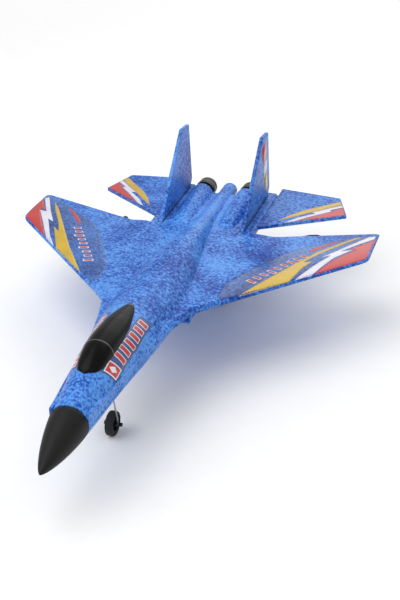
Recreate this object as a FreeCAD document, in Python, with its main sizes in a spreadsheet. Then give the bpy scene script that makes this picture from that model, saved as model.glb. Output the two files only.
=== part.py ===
import FreeCAD, Part
import math
import os
import re

import Sketcher
from FreeCAD import Placement, Rotation, Vector

# A twin-motor foam jet glider on three wheels.
# Layout frame: x to port, y is the station aft of the nose tip, z is the height above
# the wing plane, all in millimetres. Every finished piece is then moved so that the
# model's origin lies on the floor, under the middle of its length.

os.makedirs("parts", exist_ok=True)
doc = FreeCAD.newDocument("foam_jet")

# ---------------------------------------------------------------- driving dimensions
SIZES = {
    # nose cone
    "nose_length": 49.2, "nose_radius": 13.5, "nose_drop": 7.8, "nose_droop_angle": 7.6, "nose_wall": 1.0,
    "nose_spigot": 7.0, "spigot_clearance": 0.15, "collar_gap": 0.2,
    # foam plate that carries wings, fins and stabilisers
    "plate_top": 2.4, "plate_thickness": 5.6, "body_edge": 43.9, "plate_end": 404.0, "boom_end": 417.4,
    "boom_inner": 30.0, "strake_start": 125.0,
    # wing
    "wing_root_station": 205.8, "wing_root_offset": 40.5, "wing_root_chord": 131.5, "wing_sweep": 97.0,
    "half_span": 143.5, "wing_tip_chord": 50.9, "wing_tip_rise": 5.0, "wing_tip_thickness": 3.4,
    # tail
    "fin_offset": 34.8, "fin_station": 340.9, "fin_root_chord": 76.5, "fin_height": 59.6, "fin_top_station": 391.7,
    "fin_top_chord": 18.1, "fin_foot_height": 5.6, "fin_thickness": 3.0, "slot_depth": 2.2, "slot_clearance": 0.25,
    "stab_station": 351.6, "stab_root_chord": 65.8, "stab_tip_station": 402.1, "stab_tip_chord": 32.0,
    "stab_tip_offset": 107.2, "stab_tip_cut": 11.7, "stab_thickness": 3.0, "stab_droop_angle": 4.0,
    "stab_height": -1.0, "stab_tab": 5.0, "stab_tab_length": 40.0,
    # engine nacelles, intakes and nozzles
    "nacelle_offset": 19.5, "nacelle_half_width": 9.8, "intake_station": 213.5, "intake_depth": 20.0,
    "nacelle_end": 411.5, "nozzle_radius": 8.6, "nozzle_height": 0.9, "nozzle_length": 9.0, "nozzle_wall": 1.2,
    "nozzle_plug": 5.0, "mouth_recess": 6.0, "mouth_lip": 2.0,
    # tail sting
    "sting_radius": 6.5, "sting_height": -1.0, "sting_end": 425.4,
    # canopy
    "canopy_front": 76.8, "canopy_rear": 169.7, "canopy_half_width": 11.4, "canopy_top": 24.4, "canopy_base": 12.0,
    "canopy_wall": 1.0, "canopy_clearance": 0.2,
    # motors and propellers
    "motor_offset": 72.8, "motor_height": -8.5, "motor_radius": 4.25, "motor_length": 20.0, "motor_station": 321.5,
    "cradle_wall": 1.0, "cradle_length": 15.0, "cradle_base_width": 13.0, "cradle_base_length": 22.0,
    "cradle_base_thickness": 1.4, "shaft_radius": 0.5, "shaft_clearance": 0.05, "shaft_sunk": 8.0,
    "prop_station": 348.6, "prop_hub_radius": 2.5, "prop_hub_length": 5.6, "prop_radius": 25.0,
    "prop_root_chord": 5.0, "prop_mid_chord": 7.4, "prop_tip_chord": 4.2, "prop_root_twist": 48.0,
    "prop_tip_twist": 16.0, "prop_thickness": 1.0, "port_prop_angle": 12.0, "starboard_prop_angle": -2.0,
    # wheels and legs
    "axle_drop": 54.2, "tyre_radius": 9.0, "tyre_width": 6.0, "rim_radius": 6.4, "rim_width": 4.6,
    "rim_wall": 1.1, "wheel_boss_radius": 2.1, "wheel_boss_length": 6.6, "spoke_width": 1.3, "axle_clearance": 0.06,
    "wire_radius": 0.6, "leg_gap": 0.4, "cap_radius": 1.4, "cap_length": 2.2,
    "nose_leg_station": 109.9, "nose_axle_station": 122.1, "main_leg_station": 326.0, "main_axle_station": 333.0,
    "main_wheel_offset": 20.0, "mount_length": 15.0, "mount_width": 13.0, "mount_depth": 5.0,
    # battery bay and hatch
    "belly_depth": 16.0, "bay_station": 135.0, "battery_length": 35.0, "battery_width": 18.0,
    "battery_height": 9.0, "battery_clearance": 1.0, "bay_wall": 1.0, "bay_flange": 3.0, "flange_thickness": 1.0,
    "pad_thickness": 1.0, "hatch_thickness": 1.4, "hatch_clearance": 0.2, "hinge_pin_radius": 0.6,
    "hinge_clearance": 0.06, "knuckle_radius": 1.5, "knuckle_length": 6.0, "latch_width": 8.0,
    "hinge_reach": 12.0, "leaf_reach": 2.4, "hatch_side_gap": 1.4,
    # receiver, switch, lamp and charging socket
    "deck_station": 181.5, "deck_length": 26.0, "deck_width": 20.0, "deck_thickness": 1.2, "deck_height": -13.7,
    "board_length": 20.0, "board_width": 14.0, "board_thickness": 1.0, "board_standoff": 7.0,
    "switch_length": 8.6, "switch_width": 3.6, "switch_height": 3.4, "slider_length": 2.6, "slider_width": 1.6,
    "slider_height": 2.6, "slider_travel": 2.0, "slider_clearance": 0.2, "lamp_radius": 1.5, "socket_length": 6.0,
    "socket_width": 4.4, "socket_height": 5.0, "screw_radius": 0.8, "screw_head_radius": 1.5, "screw_length": 5.0,
    "screw_head_height": 0.9, "lead_radius": 0.8, "plug_depth": 3.8,
    # ballast in the nose
    "ballast_radius": 5.0, "ballast_length": 16.0, "ballast_station": 61.0,
}

# Body rings: name, station, half width, crown height, keel height, waterline of the widest point.
RINGS = (
    ("throat", 60.0, 14.3, 8.4, -20.4, -7.6),
    ("brow", 82.0, 16.6, 14.2, -17.6, -6.6),
    ("cockpit", 106.0, 18.8, 18.8, -16.4, -5.5),
    ("neck", 136.0, 21.6, 19.2, -16.0, -5.0),
    ("shoulder", 164.0, 23.6, 17.4, -16.0, -4.0),
    ("chest", 192.0, 25.0, 16.2, -16.0, -3.5),
    ("waist", 225.0, 24.0, 16.2, -14.0, -3.0),
    ("hip", 270.0, 19.0, 15.4, -9.6, -2.5),
    ("rump", 315.0, 12.0, 11.4, -7.6, -2.0),
    ("croup", 352.0, 8.0, 7.2, -7.0, -1.0),
)

sheet = doc.addObject("Spreadsheet::Sheet", "Sizes")
ring_sizes = {}
for ring_name, *measures in RINGS:
    for measure, number in zip(("station", "half_width", "crown", "keel", "waterline"), measures):
        ring_sizes[f"{ring_name}_{measure}"] = number
ALL_SIZES = {**SIZES, **ring_sizes}
for row, (alias, number) in enumerate(ALL_SIZES.items(), start=1):
    sheet.set(f"A{row}", alias)
    sheet.set(f"B{row}", str(number))
    sheet.setAlias(f"B{row}", alias)
doc.recompute()

AXES = {
    "X": Rotation(Vector(0, 0, 1), Vector(1, 0, 0)),
    "Y": Rotation(Vector(0, 0, 1), Vector(0, 1, 0)),
    "Z": Rotation(),
}
# the widest station of the whole model is the stabiliser's rear corner, and half of it is the origin
MIDDLE = "(stab_tip_station + stab_tip_chord) / 2"
FLOOR = "(axle_drop + tyre_radius)"
BOARD_HEIGHT = "(deck_height + deck_thickness + board_standoff)"
LEAD_HEIGHT = f"({BOARD_HEIGHT} - plug_depth / 2)"
PLATE_BOTTOM = "(plate_top - plate_thickness)"
finished = []


def bind(text):
    """Turn the bare size names of an expression into references to the sheet."""
    return re.sub(r"[a-z][a-z_0-9]*", lambda word: f"Sizes.{word[0]}" if word[0] in ALL_SIZES else word[0], str(text))


def value(text):
    """Work out an expression of size names as a number."""
    return float(calculator.evalExpression(bind(text)))


calculator = doc.addObject("App::FeaturePython", "Calculator")


def place(obj, at=("0", "0", "0"), rotation=None, final=True):
    """Bind an object's place to the sheet; a finished piece is also moved to the model's origin."""
    obj.Placement = Placement(Vector(), rotation or Rotation())
    shifts = ("", f" - {MIDDLE}", f" + {FLOOR}") if final else ("", "", "")
    for letter, text, shift in zip("xyz", at, shifts):
        obj.setExpression(f"Placement.Base.{letter}", bind(f"({text}){shift}"))
    if final:
        finished.append(obj)
    return obj


def block(label, dims, at, rotation=None, final=False):
    """A box of the three sizes, with its middle at the given point."""
    box = doc.addObject("Part::Box", label)
    for prop, text in zip(("Length", "Width", "Height"), dims):
        box.setExpression(prop, bind(text))
    corner = [f"({place_text}) - ({dim}) / 2" for place_text, dim in zip(at, dims)]
    return place(box, corner, rotation, final)


def rod(label, radius, length, at, axis="Z", final=False):
    """A cylinder that starts at a point and runs along an axis."""
    cylinder = doc.addObject("Part::Cylinder", label)
    cylinder.setExpression("Radius", bind(radius))
    cylinder.setExpression("Height", bind(length))
    return place(cylinder, at, AXES[axis], final)


def cut(label, base, tools, final=True):
    """A base shape with all the tool shapes taken away."""
    result = doc.addObject("Part::Cut", label)
    result.Base = base
    result.Tool = tools[0] if len(tools) == 1 else fuse(f"{label}_tools", tools, final=False)
    return place(result, final=final)


def fuse(label, pieces, final=True):
    """One piece made of several that meet."""
    result = doc.addObject("Part::MultiFuse", label)
    result.Shapes = pieces
    return place(result, final=final)


def made(label, shape, at=("0", "0", "0"), final=True):
    """A piece whose surface is worked out here from the sheet's sizes."""
    feature = doc.addObject("Part::Feature", label)
    feature.Shape = shape
    return place(feature, at, final=final)


def outline(body, plane, points, offset="0"):
    """A closed sketch of straight lines on one of the body's own planes, bound to the sheet."""
    sketch = body.newObject("Sketcher::SketchObject", f"{body.Name}_outline")
    origin_plane = next(item for item in body.Origin.OriginFeatures if item.Role == plane)
    sketch.AttachmentSupport = [(origin_plane, "")]
    sketch.MapMode = "FlatFace"
    sketch.setExpression("AttachmentOffset.Base.z", bind(offset))
    corners = [Vector(value(across), value(along), 0) for across, along in points]
    count = len(corners)
    for index, corner in enumerate(corners):
        sketch.addGeometry(Part.LineSegment(corner, corners[(index + 1) % count]), False)
    for index in range(count):
        sketch.addConstraint(Sketcher.Constraint("Coincident", index, 2, (index + 1) % count, 1))
    for index, (corner, (across, along)) in enumerate(zip(corners, points)):
        for kind, number, text in (("DistanceX", corner.x, across), ("DistanceY", corner.y, along)):
            constraint = sketch.addConstraint(Sketcher.Constraint(kind, -1, 1, index, 1, number))
            sketch.setExpression(f"Constraints[{constraint}]", bind(text))
    doc.recompute()
    return sketch


def plate(label, plane, points, thickness, offset="0", at=("0", "0", "0"), rotation=None, midplane=True, final=True):
    """A flat piece: a sketched outline padded to a thickness."""
    body = doc.addObject("PartDesign::Body", label)
    sketch = outline(body, plane, points, offset)
    pad = body.newObject("PartDesign::Pad", f"{label}_pad")
    pad.Profile = sketch
    pad.Midplane = midplane
    pad.setExpression("Length", bind(thickness))
    doc.recompute()
    return place(body, at, rotation, final)


def turned(label, points, at=("0", "0", "0"), rotation=None, final=True):
    """A turned piece: a sketched half section (distance along the axis, radius) revolved about Y."""
    body = doc.addObject("PartDesign::Body", label)
    sketch = outline(body, "XY_Plane", [(radius, along) for along, radius in points])
    revolution = body.newObject("PartDesign::Revolution", f"{label}_turn")
    revolution.Profile = sketch
    revolution.ReferenceAxis = (sketch, ["V_Axis"])
    revolution.Angle = 360
    doc.recompute()
    return place(body, at, rotation, final)


def wire_along(points, bend):
    """Straight runs through the points, joined by tangent arcs of the bend radius."""
    points = [Vector(*point) for point in points]
    edges = []
    start = points[0]
    for before, corner, after in zip(points, points[1:], points[2:]):
        arriving = (corner - before).normalize()
        leaving = (after - corner).normalize()
        turn = math.acos(max(-1.0, min(1.0, arriving.dot(leaving))))
        setback = bend * math.tan(turn / 2)
        enter = corner - arriving * setback
        leave = corner + leaving * setback
        towards_centre = (leaving - arriving).normalize()
        middle = corner + towards_centre * (bend / math.cos(turn / 2) - bend)
        edges.append(Part.LineSegment(start, enter).toShape())
        edges.append(Part.Arc(enter, middle, leave).toShape())
        start = leave
    edges.append(Part.LineSegment(start, points[-1]).toShape())
    return Part.Wire(edges)


def tube_along(points, radius, bend):
    """A round bar along straight runs and tangent arcs."""
    spine = wire_along(points, bend)
    direction = Vector(*points[1]) - Vector(*points[0])
    section = Part.Wire(Part.Circle(Vector(*points[0]), direction, radius).toShape())
    return spine.makePipeShell([section], True, True)


def ring_wire(station, half_width, crown, keel, waterline, centre=0.0, lean=0.0, roundness=(2.0, 3.0)):
    """A closed section curve: a superellipse above and below its widest line."""
    points = []
    count = 32
    for index in range(count):
        angle = 2 * math.pi * index / count
        across, up = math.cos(angle), math.sin(angle)
        power = 2 / roundness[0 if up >= 0 else 1]
        height = (crown - waterline) if up >= 0 else (waterline - keel)
        z = waterline + math.copysign(abs(up) ** power, up) * height
        x = centre + math.copysign(abs(across) ** power, across) * half_width
        points.append(Vector(x, station + (waterline - z) * lean, z))
    curve = Part.BSplineCurve()
    curve.interpolate(points, PeriodicFlag=True)
    return Part.Wire(curve.toShape())


def size(alias):
    """A driving dimension, read back from the sheet."""
    return float(sheet.get(alias))


# ---------------------------------------------------------------- foam body
def ring(name, lean=0.0, roundness=(2.0, 3.0)):
    """The section curve of one named body ring."""
    keys = ("station", "half_width", "crown", "keel", "waterline")
    return ring_wire(*(size(f"{name}_{key}") for key in keys), lean=lean, roundness=roundness)


def foam_hull():
    """The whole body of revolution-like foam, from the nose collar to the sting's round end."""
    nose_lean = math.tan(math.radians(size("nose_droop_angle")))
    nose_radius, nose_height = size("nose_radius"), -size("nose_drop")
    wires = [ring_wire(size("nose_length") + size("collar_gap"), nose_radius, nose_height + nose_radius,
                       nose_height - nose_radius, nose_height, lean=nose_lean, roundness=(2.0, 2.0)),
             ring(RINGS[0][0], roundness=(2.0, 2.4))]
    wires += [ring(name) for name, *_ in RINGS[1:-1]]
    wires.append(ring(RINGS[-1][0], roundness=(2.0, 2.0)))
    radius, height = size("sting_radius"), size("sting_height")
    for angle in (0, 30, 55, 75):
        bulge, shrunk = math.sin(math.radians(angle)) * radius, math.cos(math.radians(angle)) * radius
        station = size("sting_end") - radius + bulge
        wires.append(ring_wire(station, shrunk, height + shrunk, height - shrunk, height, roundness=(2.0, 2.0)))
    return Part.makeLoft(wires, True, True)


def nacelle(side):
    """One engine nacelle: a box-like intake that fades into a round tail."""
    offset, half = side * size("nacelle_offset"), size("nacelle_half_width")
    radius, height = size("nozzle_radius"), size("nozzle_height")
    bottom, top = -size("intake_depth"), size("plate_top")
    start, end = size("intake_station"), size("nacelle_end")
    middle = start + 0.45 * (end - start)
    wires = [
        ring_wire(start, half, top - 2.0, bottom, -8.0, offset, roundness=(6.0, 6.0)),
        ring_wire(middle, half, top - 0.6, bottom, -8.0, offset, roundness=(5.0, 5.0)),
        ring_wire(end - 12.0, radius + 0.4, height + radius + 0.4, height - radius - 0.8, height, offset,
                  roundness=(2.0, 2.2)),
        ring_wire(end, radius + 0.4, height + radius + 0.4, height - radius - 0.4, height, offset,
                  roundness=(2.0, 2.0)),
    ]
    return Part.makeLoft(wires, True, True)


def wing(side):
    """One wing panel: a flat-bottomed section that thins towards the tip, with a rounded front."""
    def section(offset, front, chord, bottom, thickness):
        profile = ((0.0, 0.35), (0.03, 0.8), (0.25, 1.0), (0.6, 0.86), (1.0, 0.45), (1.0, 0.05), (0.03, 0.0))
        points = [Vector(side * offset, front + chord * along, bottom + thickness * up) for along, up in profile]
        return Part.makePolygon(points + points[:1])
    bottom = size("plate_top") - size("plate_thickness")
    root_offset, front, chord = size("wing_root_offset"), size("wing_root_station"), size("wing_root_chord")
    inner_offset = root_offset - 14.0
    return Part.makeLoft([
        section(inner_offset, front + 2.0, chord - 3.0, bottom, size("plate_thickness")),
        section(root_offset, front, chord, bottom, size("plate_thickness")),
        section(size("half_span"), front + size("wing_sweep"), size("wing_tip_chord"),
                bottom + size("wing_tip_rise"), size("wing_tip_thickness")),
    ], True, True)


def strake_plate():
    """The flat foam plate under spine and nacelles: strakes in front, tail booms behind."""
    edge, root = size("body_edge"), size("wing_root_offset")
    start, wing_front = size("strake_start"), size("wing_root_station")
    run, rise = wing_front - start, root - 21.0
    curve = [(21.0 + rise * (step / 6) ** 1.7, start + run * step / 6) for step in range(7)]
    rear = [(edge, wing_front + 4.0), (edge, size("boom_end")), (size("boom_inner"), size("boom_end")),
            (size("boom_inner") - 1.0, size("plate_end"))]
    half = [(x, y, 0) for x, y in curve + rear]
    points = [Vector(*point) for point in half] + [Vector(-x, y, z) for x, y, z in reversed(half)]
    face = Part.Face(Part.makePolygon(points + points[:1]))
    face.translate(Vector(0, 0, size("plate_top") - size("plate_thickness")))
    return face.extrude(Vector(0, 0, size("plate_thickness")))


def parting_block():
    """Everything above the seam between the two foam mouldings."""
    seam = size("plate_top") - size("plate_thickness")
    reach = 2 * size("half_span")
    line = [(-20, -9.5), (49, -9.5), (106, -7), (164, seam), (460, seam), (460, 120), (-20, 120)]
    points = [Vector(-reach / 2, y, z) for y, z in line]
    return Part.Face(Part.makePolygon(points + points[:1])).extrude(Vector(reach, 0, 0))


hull = foam_hull()
nacelles = [nacelle(side) for side in (1, -1)]
above = parting_block()
upper_parts = [strake_plate(), wing(1), wing(-1)] + [body.common(above) for body in nacelles]
upper_blank = made("upper_blank", hull.common(above).fuse(upper_parts), final=False)
lower_blank = made("lower_blank", hull.fuse(nacelles).cut(above), final=False)
upper_cuts = []
lower_cuts = []
SIDES = (("port", 1), ("starboard", -1))


# ---------------------------------------------------------------- nose cone and ballast
def ogive(length, radius, steps=9):
    """Half section of a rounded point: (distance ahead of the collar, radius) pairs."""
    rows = []
    for step in range(steps):
        along = math.sin(math.pi / 2 * step / (steps - 1))
        rows.append((f"-({length}) * {along:.4f}", f"({radius}) * {(1 - along ** 1.15) ** 0.72:.4f}"))
    rows[-1] = (rows[-1][0], "0")
    return rows


droop = Rotation(Vector(1, 0, 0), size("nose_droop_angle"))
collar = ("0", "nose_length", "-nose_drop")
spigot_radius = "(nose_radius - nose_wall - 2)"
shell = turned("nose_shell", [("0", "0")] + ogive("nose_length", "nose_radius"), collar, droop, final=False)
hollow = turned("nose_hollow", [("nose_spigot + 1", "0"), ("nose_spigot + 1", f"{spigot_radius} - nose_wall"),
                                ("0", f"{spigot_radius} - nose_wall")]
                + ogive("nose_length - 4 * nose_wall", f"{spigot_radius} - nose_wall")[1:], collar, droop, final=False)
spigot = turned("nose_spigot_rod", [("-nose_wall", "0"), ("-nose_wall", spigot_radius), ("nose_spigot", spigot_radius),
                                    ("nose_spigot", "0")], collar, droop, final=False)
cone_solid = fuse("nose_cone_solid", [shell, spigot], final=False)
nose_cone = cut("nose_cone", cone_solid, [hollow])
socket = turned("nose_socket", [("-4", "0"), ("-4", f"{spigot_radius} + spigot_clearance"),
                                ("nose_spigot + 0.3", f"{spigot_radius} + spigot_clearance"),
                                ("nose_spigot + 0.3", "0")], collar, droop, final=False)
upper_cuts.append(socket)
lower_cuts.append(socket)
nose_ballast = rod("nose_ballast", "ballast_radius", "ballast_length",
                   ("0", "ballast_station", "-nose_drop - 2"), "Y", final=True)
ballast_bore = rod("ballast_bore", "ballast_radius", "ballast_length",
                   ("0", "ballast_station", "-nose_drop - 2"), "Y")
upper_cuts.append(ballast_bore)
lower_cuts.append(ballast_bore)


# ---------------------------------------------------------------- canopy
def canopy_solid(margin=0.0, wall=0.0):
    """The canopy's outer form, grown by a margin or shrunk by a wall."""
    front, rear = size("canopy_front") - margin + wall, size("canopy_rear") + margin - wall
    half, top, base = size("canopy_half_width") + margin - wall, size("canopy_top") - wall, size("canopy_base")
    crown_line = ((0.0, 0.04, 0.12), (0.05, 0.36, 0.34), (0.14, 0.62, 0.62), (0.28, 0.86, 0.93), (0.42, 1.0, 1.0),
                  (0.6, 0.95, 0.93), (0.78, 0.74, 0.74), (0.92, 0.44, 0.55), (1.0, 0.06, 0.42))
    wires = []
    for along, wide, high in crown_line:
        station = front + (rear - front) * along
        crown = base + margin + (top - base) * high
        low = base - (0.0 if wall == 0.0 else 1.0)
        points = [Vector(half * wide * math.cos(math.pi * step / 12), station,
                         low + (crown - low) * math.sin(math.pi * step / 12) ** 0.8) for step in range(13)]
        curve = Part.BSplineCurve()
        curve.interpolate(points)
        wires.append(Part.Wire([curve.toShape(), Part.LineSegment(points[-1], points[0]).toShape()]))
    return Part.makeLoft(wires, True, True)


canopy = made("canopy", canopy_solid().cut(canopy_solid(wall=size("canopy_wall"))))
canopy_seat = made("canopy_seat", canopy_solid(margin=size("canopy_clearance")), final=False)
upper_cuts.append(canopy_seat)

# ---------------------------------------------------------------- fins, stabilisers and nozzles
for name, side in SIDES:
    fin_points = [("fin_station", "-slot_depth"), ("fin_station + fin_root_chord", "-slot_depth"),
                  ("fin_station + fin_root_chord", "0"), ("fin_station + fin_root_chord - 5", "fin_foot_height"),
                  ("fin_top_station + fin_top_chord", "fin_height - 2"), ("fin_top_station", "fin_height"),
                  ("fin_station", "0")]
    at = (f"{side} * fin_offset", "0", "plate_top")
    plate(f"{name}_fin", "YZ_Plane", fin_points, "fin_thickness", at=at)
    upper_cuts.append(block(f"{name}_fin_slot", ("fin_thickness + 2 * slot_clearance",
                                                 "fin_root_chord + 2 * slot_clearance", "slot_depth * 2"),
                            (f"{side} * fin_offset", "fin_station + fin_root_chord / 2", "plate_top")))
    tilt = Rotation(Vector(0, 1, 0), side * size("stab_droop_angle"))
    tab_middle = "(stab_station + stab_root_chord / 2)"
    reach = f"{side} * (stab_tip_offset - body_edge)"
    stab_points = [("0", "stab_station"), (reach, "stab_tip_station"),
                   (f"{reach} - {side} * stab_tip_cut", "stab_tip_station + stab_tip_chord"),
                   ("0", "stab_tip_station + stab_tip_chord - 1.4"), ("0", f"{tab_middle} + stab_tab_length / 2"),
                   (f"-{side} * stab_tab", f"{tab_middle} + stab_tab_length / 2"),
                   (f"-{side} * stab_tab", f"{tab_middle} - stab_tab_length / 2"),
                   ("0", f"{tab_middle} - stab_tab_length / 2")]
    root = (f"{side} * (body_edge + slot_clearance / 2)", "0", "stab_height")
    plate(f"{name}_stabiliser", "XY_Plane", stab_points, "stab_thickness", at=root, rotation=tilt)
    tab = ("stab_tab + slot_clearance", "stab_tab_length + 2 * slot_clearance", "stab_thickness + 2 * slot_clearance")
    slot_points = [("0", f"{tab_middle} - ({tab[1]}) / 2"), (f"{side} * 2", f"{tab_middle} - ({tab[1]}) / 2"),
                   (f"{side} * 2", f"{tab_middle} + ({tab[1]}) / 2"),
                   (f"-{side} * ({tab[0]})", f"{tab_middle} + ({tab[1]}) / 2"),
                   (f"-{side} * ({tab[0]})", f"{tab_middle} - ({tab[1]}) / 2")]
    upper_cuts.append(plate(f"{name}_stabiliser_slot", "XY_Plane", slot_points, tab[2], at=root, rotation=tilt,
                            final=False))
    # nozzle: a tube with a plug end let into the nacelle and a baffle inside
    nozzle_at = (f"{side} * nacelle_offset", "nacelle_end", "nozzle_height")
    turned(f"{name}_nozzle", [
        ("-nozzle_plug", "0"), ("-nozzle_plug", "nozzle_radius - 2 * nozzle_wall"),
        ("0", "nozzle_radius - 2 * nozzle_wall"), ("0", "nozzle_radius"), ("nozzle_length", "nozzle_radius - 0.6"),
        ("nozzle_length", "nozzle_radius - 0.6 - nozzle_wall"), ("1", "nozzle_radius - 3 * nozzle_wall"),
        ("1", "0")], nozzle_at)
    bore = rod(f"{name}_nozzle_bore", "nozzle_radius - 2 * nozzle_wall + spigot_clearance", "nozzle_plug * 2",
               (nozzle_at[0], "nacelle_end - nozzle_plug", nozzle_at[2]), "Y")
    upper_cuts.append(bore)
    lower_cuts.append(bore)
    # intake mouth: a shallow recess with a lip round it
    lower_cuts.append(block(f"{name}_mouth", (
        "2 * (nacelle_half_width - mouth_lip)", "mouth_recess * 2", "intake_depth - 3.2 - 2 * mouth_lip"),
        (f"{side} * nacelle_offset", "intake_station", "-(intake_depth + 3.2) / 2")))

# ---------------------------------------------------------------- motors and propellers
wing_slope = "wing_tip_rise / (half_span - wing_root_offset)"
wing_underside = f"({PLATE_BOTTOM} + (motor_offset - wing_root_offset) * {wing_slope})"
for name, side in SIDES:
    centre = (f"{side} * motor_offset", "motor_station", "motor_height")
    can = rod(f"{name}_motor_can", "motor_radius", "motor_length", centre, "Y")
    neck = rod(f"{name}_motor_neck", "motor_radius / 2", "1", (centre[0], "motor_station + motor_length", centre[2]), "Y")
    bearing = rod(f"{name}_motor_bearing", "shaft_radius + shaft_clearance", "shaft_sunk + 5",
                  (centre[0], "motor_station + motor_length - shaft_sunk", centre[2]), "Y")
    cut(f"{name}_motor", fuse(f"{name}_motor_solid", [can, neck], final=False), [bearing])
    sleeve_station = "motor_station + (motor_length - cradle_length) / 2"
    sleeve = rod(f"{name}_cradle_sleeve", "motor_radius + cradle_wall", "cradle_length",
                 (centre[0], sleeve_station, centre[2]), "Y")
    bed = (centre[0], "motor_station + motor_length / 2", f"{wing_underside} - cradle_base_thickness / 2 - 0.2")
    base = block(f"{name}_cradle_base", ("cradle_base_width", "cradle_base_length", "cradle_base_thickness"), bed)
    neck_height = f"({wing_underside} - 0.2 - motor_height)"
    web = block(f"{name}_cradle_web", ("4", "cradle_length", neck_height),
                (centre[0], "motor_station + motor_length / 2", f"motor_height + {neck_height} / 2"))
    seat = rod(f"{name}_cradle_bore", "motor_radius", "motor_length",
               (centre[0], "motor_station", centre[2]), "Y")
    cut(f"{name}_motor_cradle", fuse(f"{name}_cradle_solid", [sleeve, base, web], final=False), [seat])
    shaft_end = "(prop_station + prop_hub_length)"
    rod(f"{name}_motor_shaft", "shaft_radius", f"{shaft_end} - motor_station - motor_length + shaft_sunk",
        (centre[0], "motor_station + motor_length - shaft_sunk", centre[2]), "Y", final=True)


def blade(side, start_angle):
    """One twisted blade, lofted through thin lens sections; the port one mirrors the starboard one."""
    radius, thick = size("prop_radius"), size("prop_thickness")
    root_twist, tip_twist = size("prop_root_twist"), size("prop_tip_twist")
    chords = ((0.05, size("prop_root_chord")), (0.3, size("prop_root_chord") * 1.2), (0.6, size("prop_mid_chord")),
              (0.85, size("prop_mid_chord") * 0.9), (1.0, size("prop_tip_chord")))
    wires = []
    for along, chord in chords:
        twist = -math.radians(root_twist + (tip_twist - root_twist) * along)
        points = []
        for step in range(12):
            angle = 2 * math.pi * step / 12
            across, up = chord / 2 * math.cos(angle), thick * (1.2 - 0.6 * along) / 2 * math.sin(angle)
            points.append(Vector(radius * along, across * math.sin(twist) + up * math.cos(twist),
                                 across * math.cos(twist) - up * math.sin(twist)))
        curve = Part.BSplineCurve()
        curve.interpolate(points, PeriodicFlag=True)
        wires.append(Part.Wire(curve.toShape()))
    shape = Part.makeLoft(wires, True, True)
    if side > 0:
        shape = shape.mirror(Vector(), Vector(1, 0, 0))
    shape.rotate(Vector(), Vector(0, 1, 0), start_angle)
    return shape


for name, side in SIDES:
    length = size("prop_hub_length")
    hub = Part.makeCylinder(size("prop_hub_radius"), length, Vector(0, -length / 2, 0), Vector(0, 1, 0))
    angle = -size(f"{name}_prop_angle")
    bore = Part.makeCylinder(size("shaft_radius"), 3 * length, Vector(0, -length, 0), Vector(0, 1, 0))
    shape = hub.cut(bore)
    for start_angle in (angle, angle + 180):
        shape = shape.fuse(blade(side, start_angle).cut(bore))
    made(f"{name}_propeller", shape, (f"{side} * motor_offset", "prop_station + prop_hub_length / 2", "motor_height"))


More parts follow.
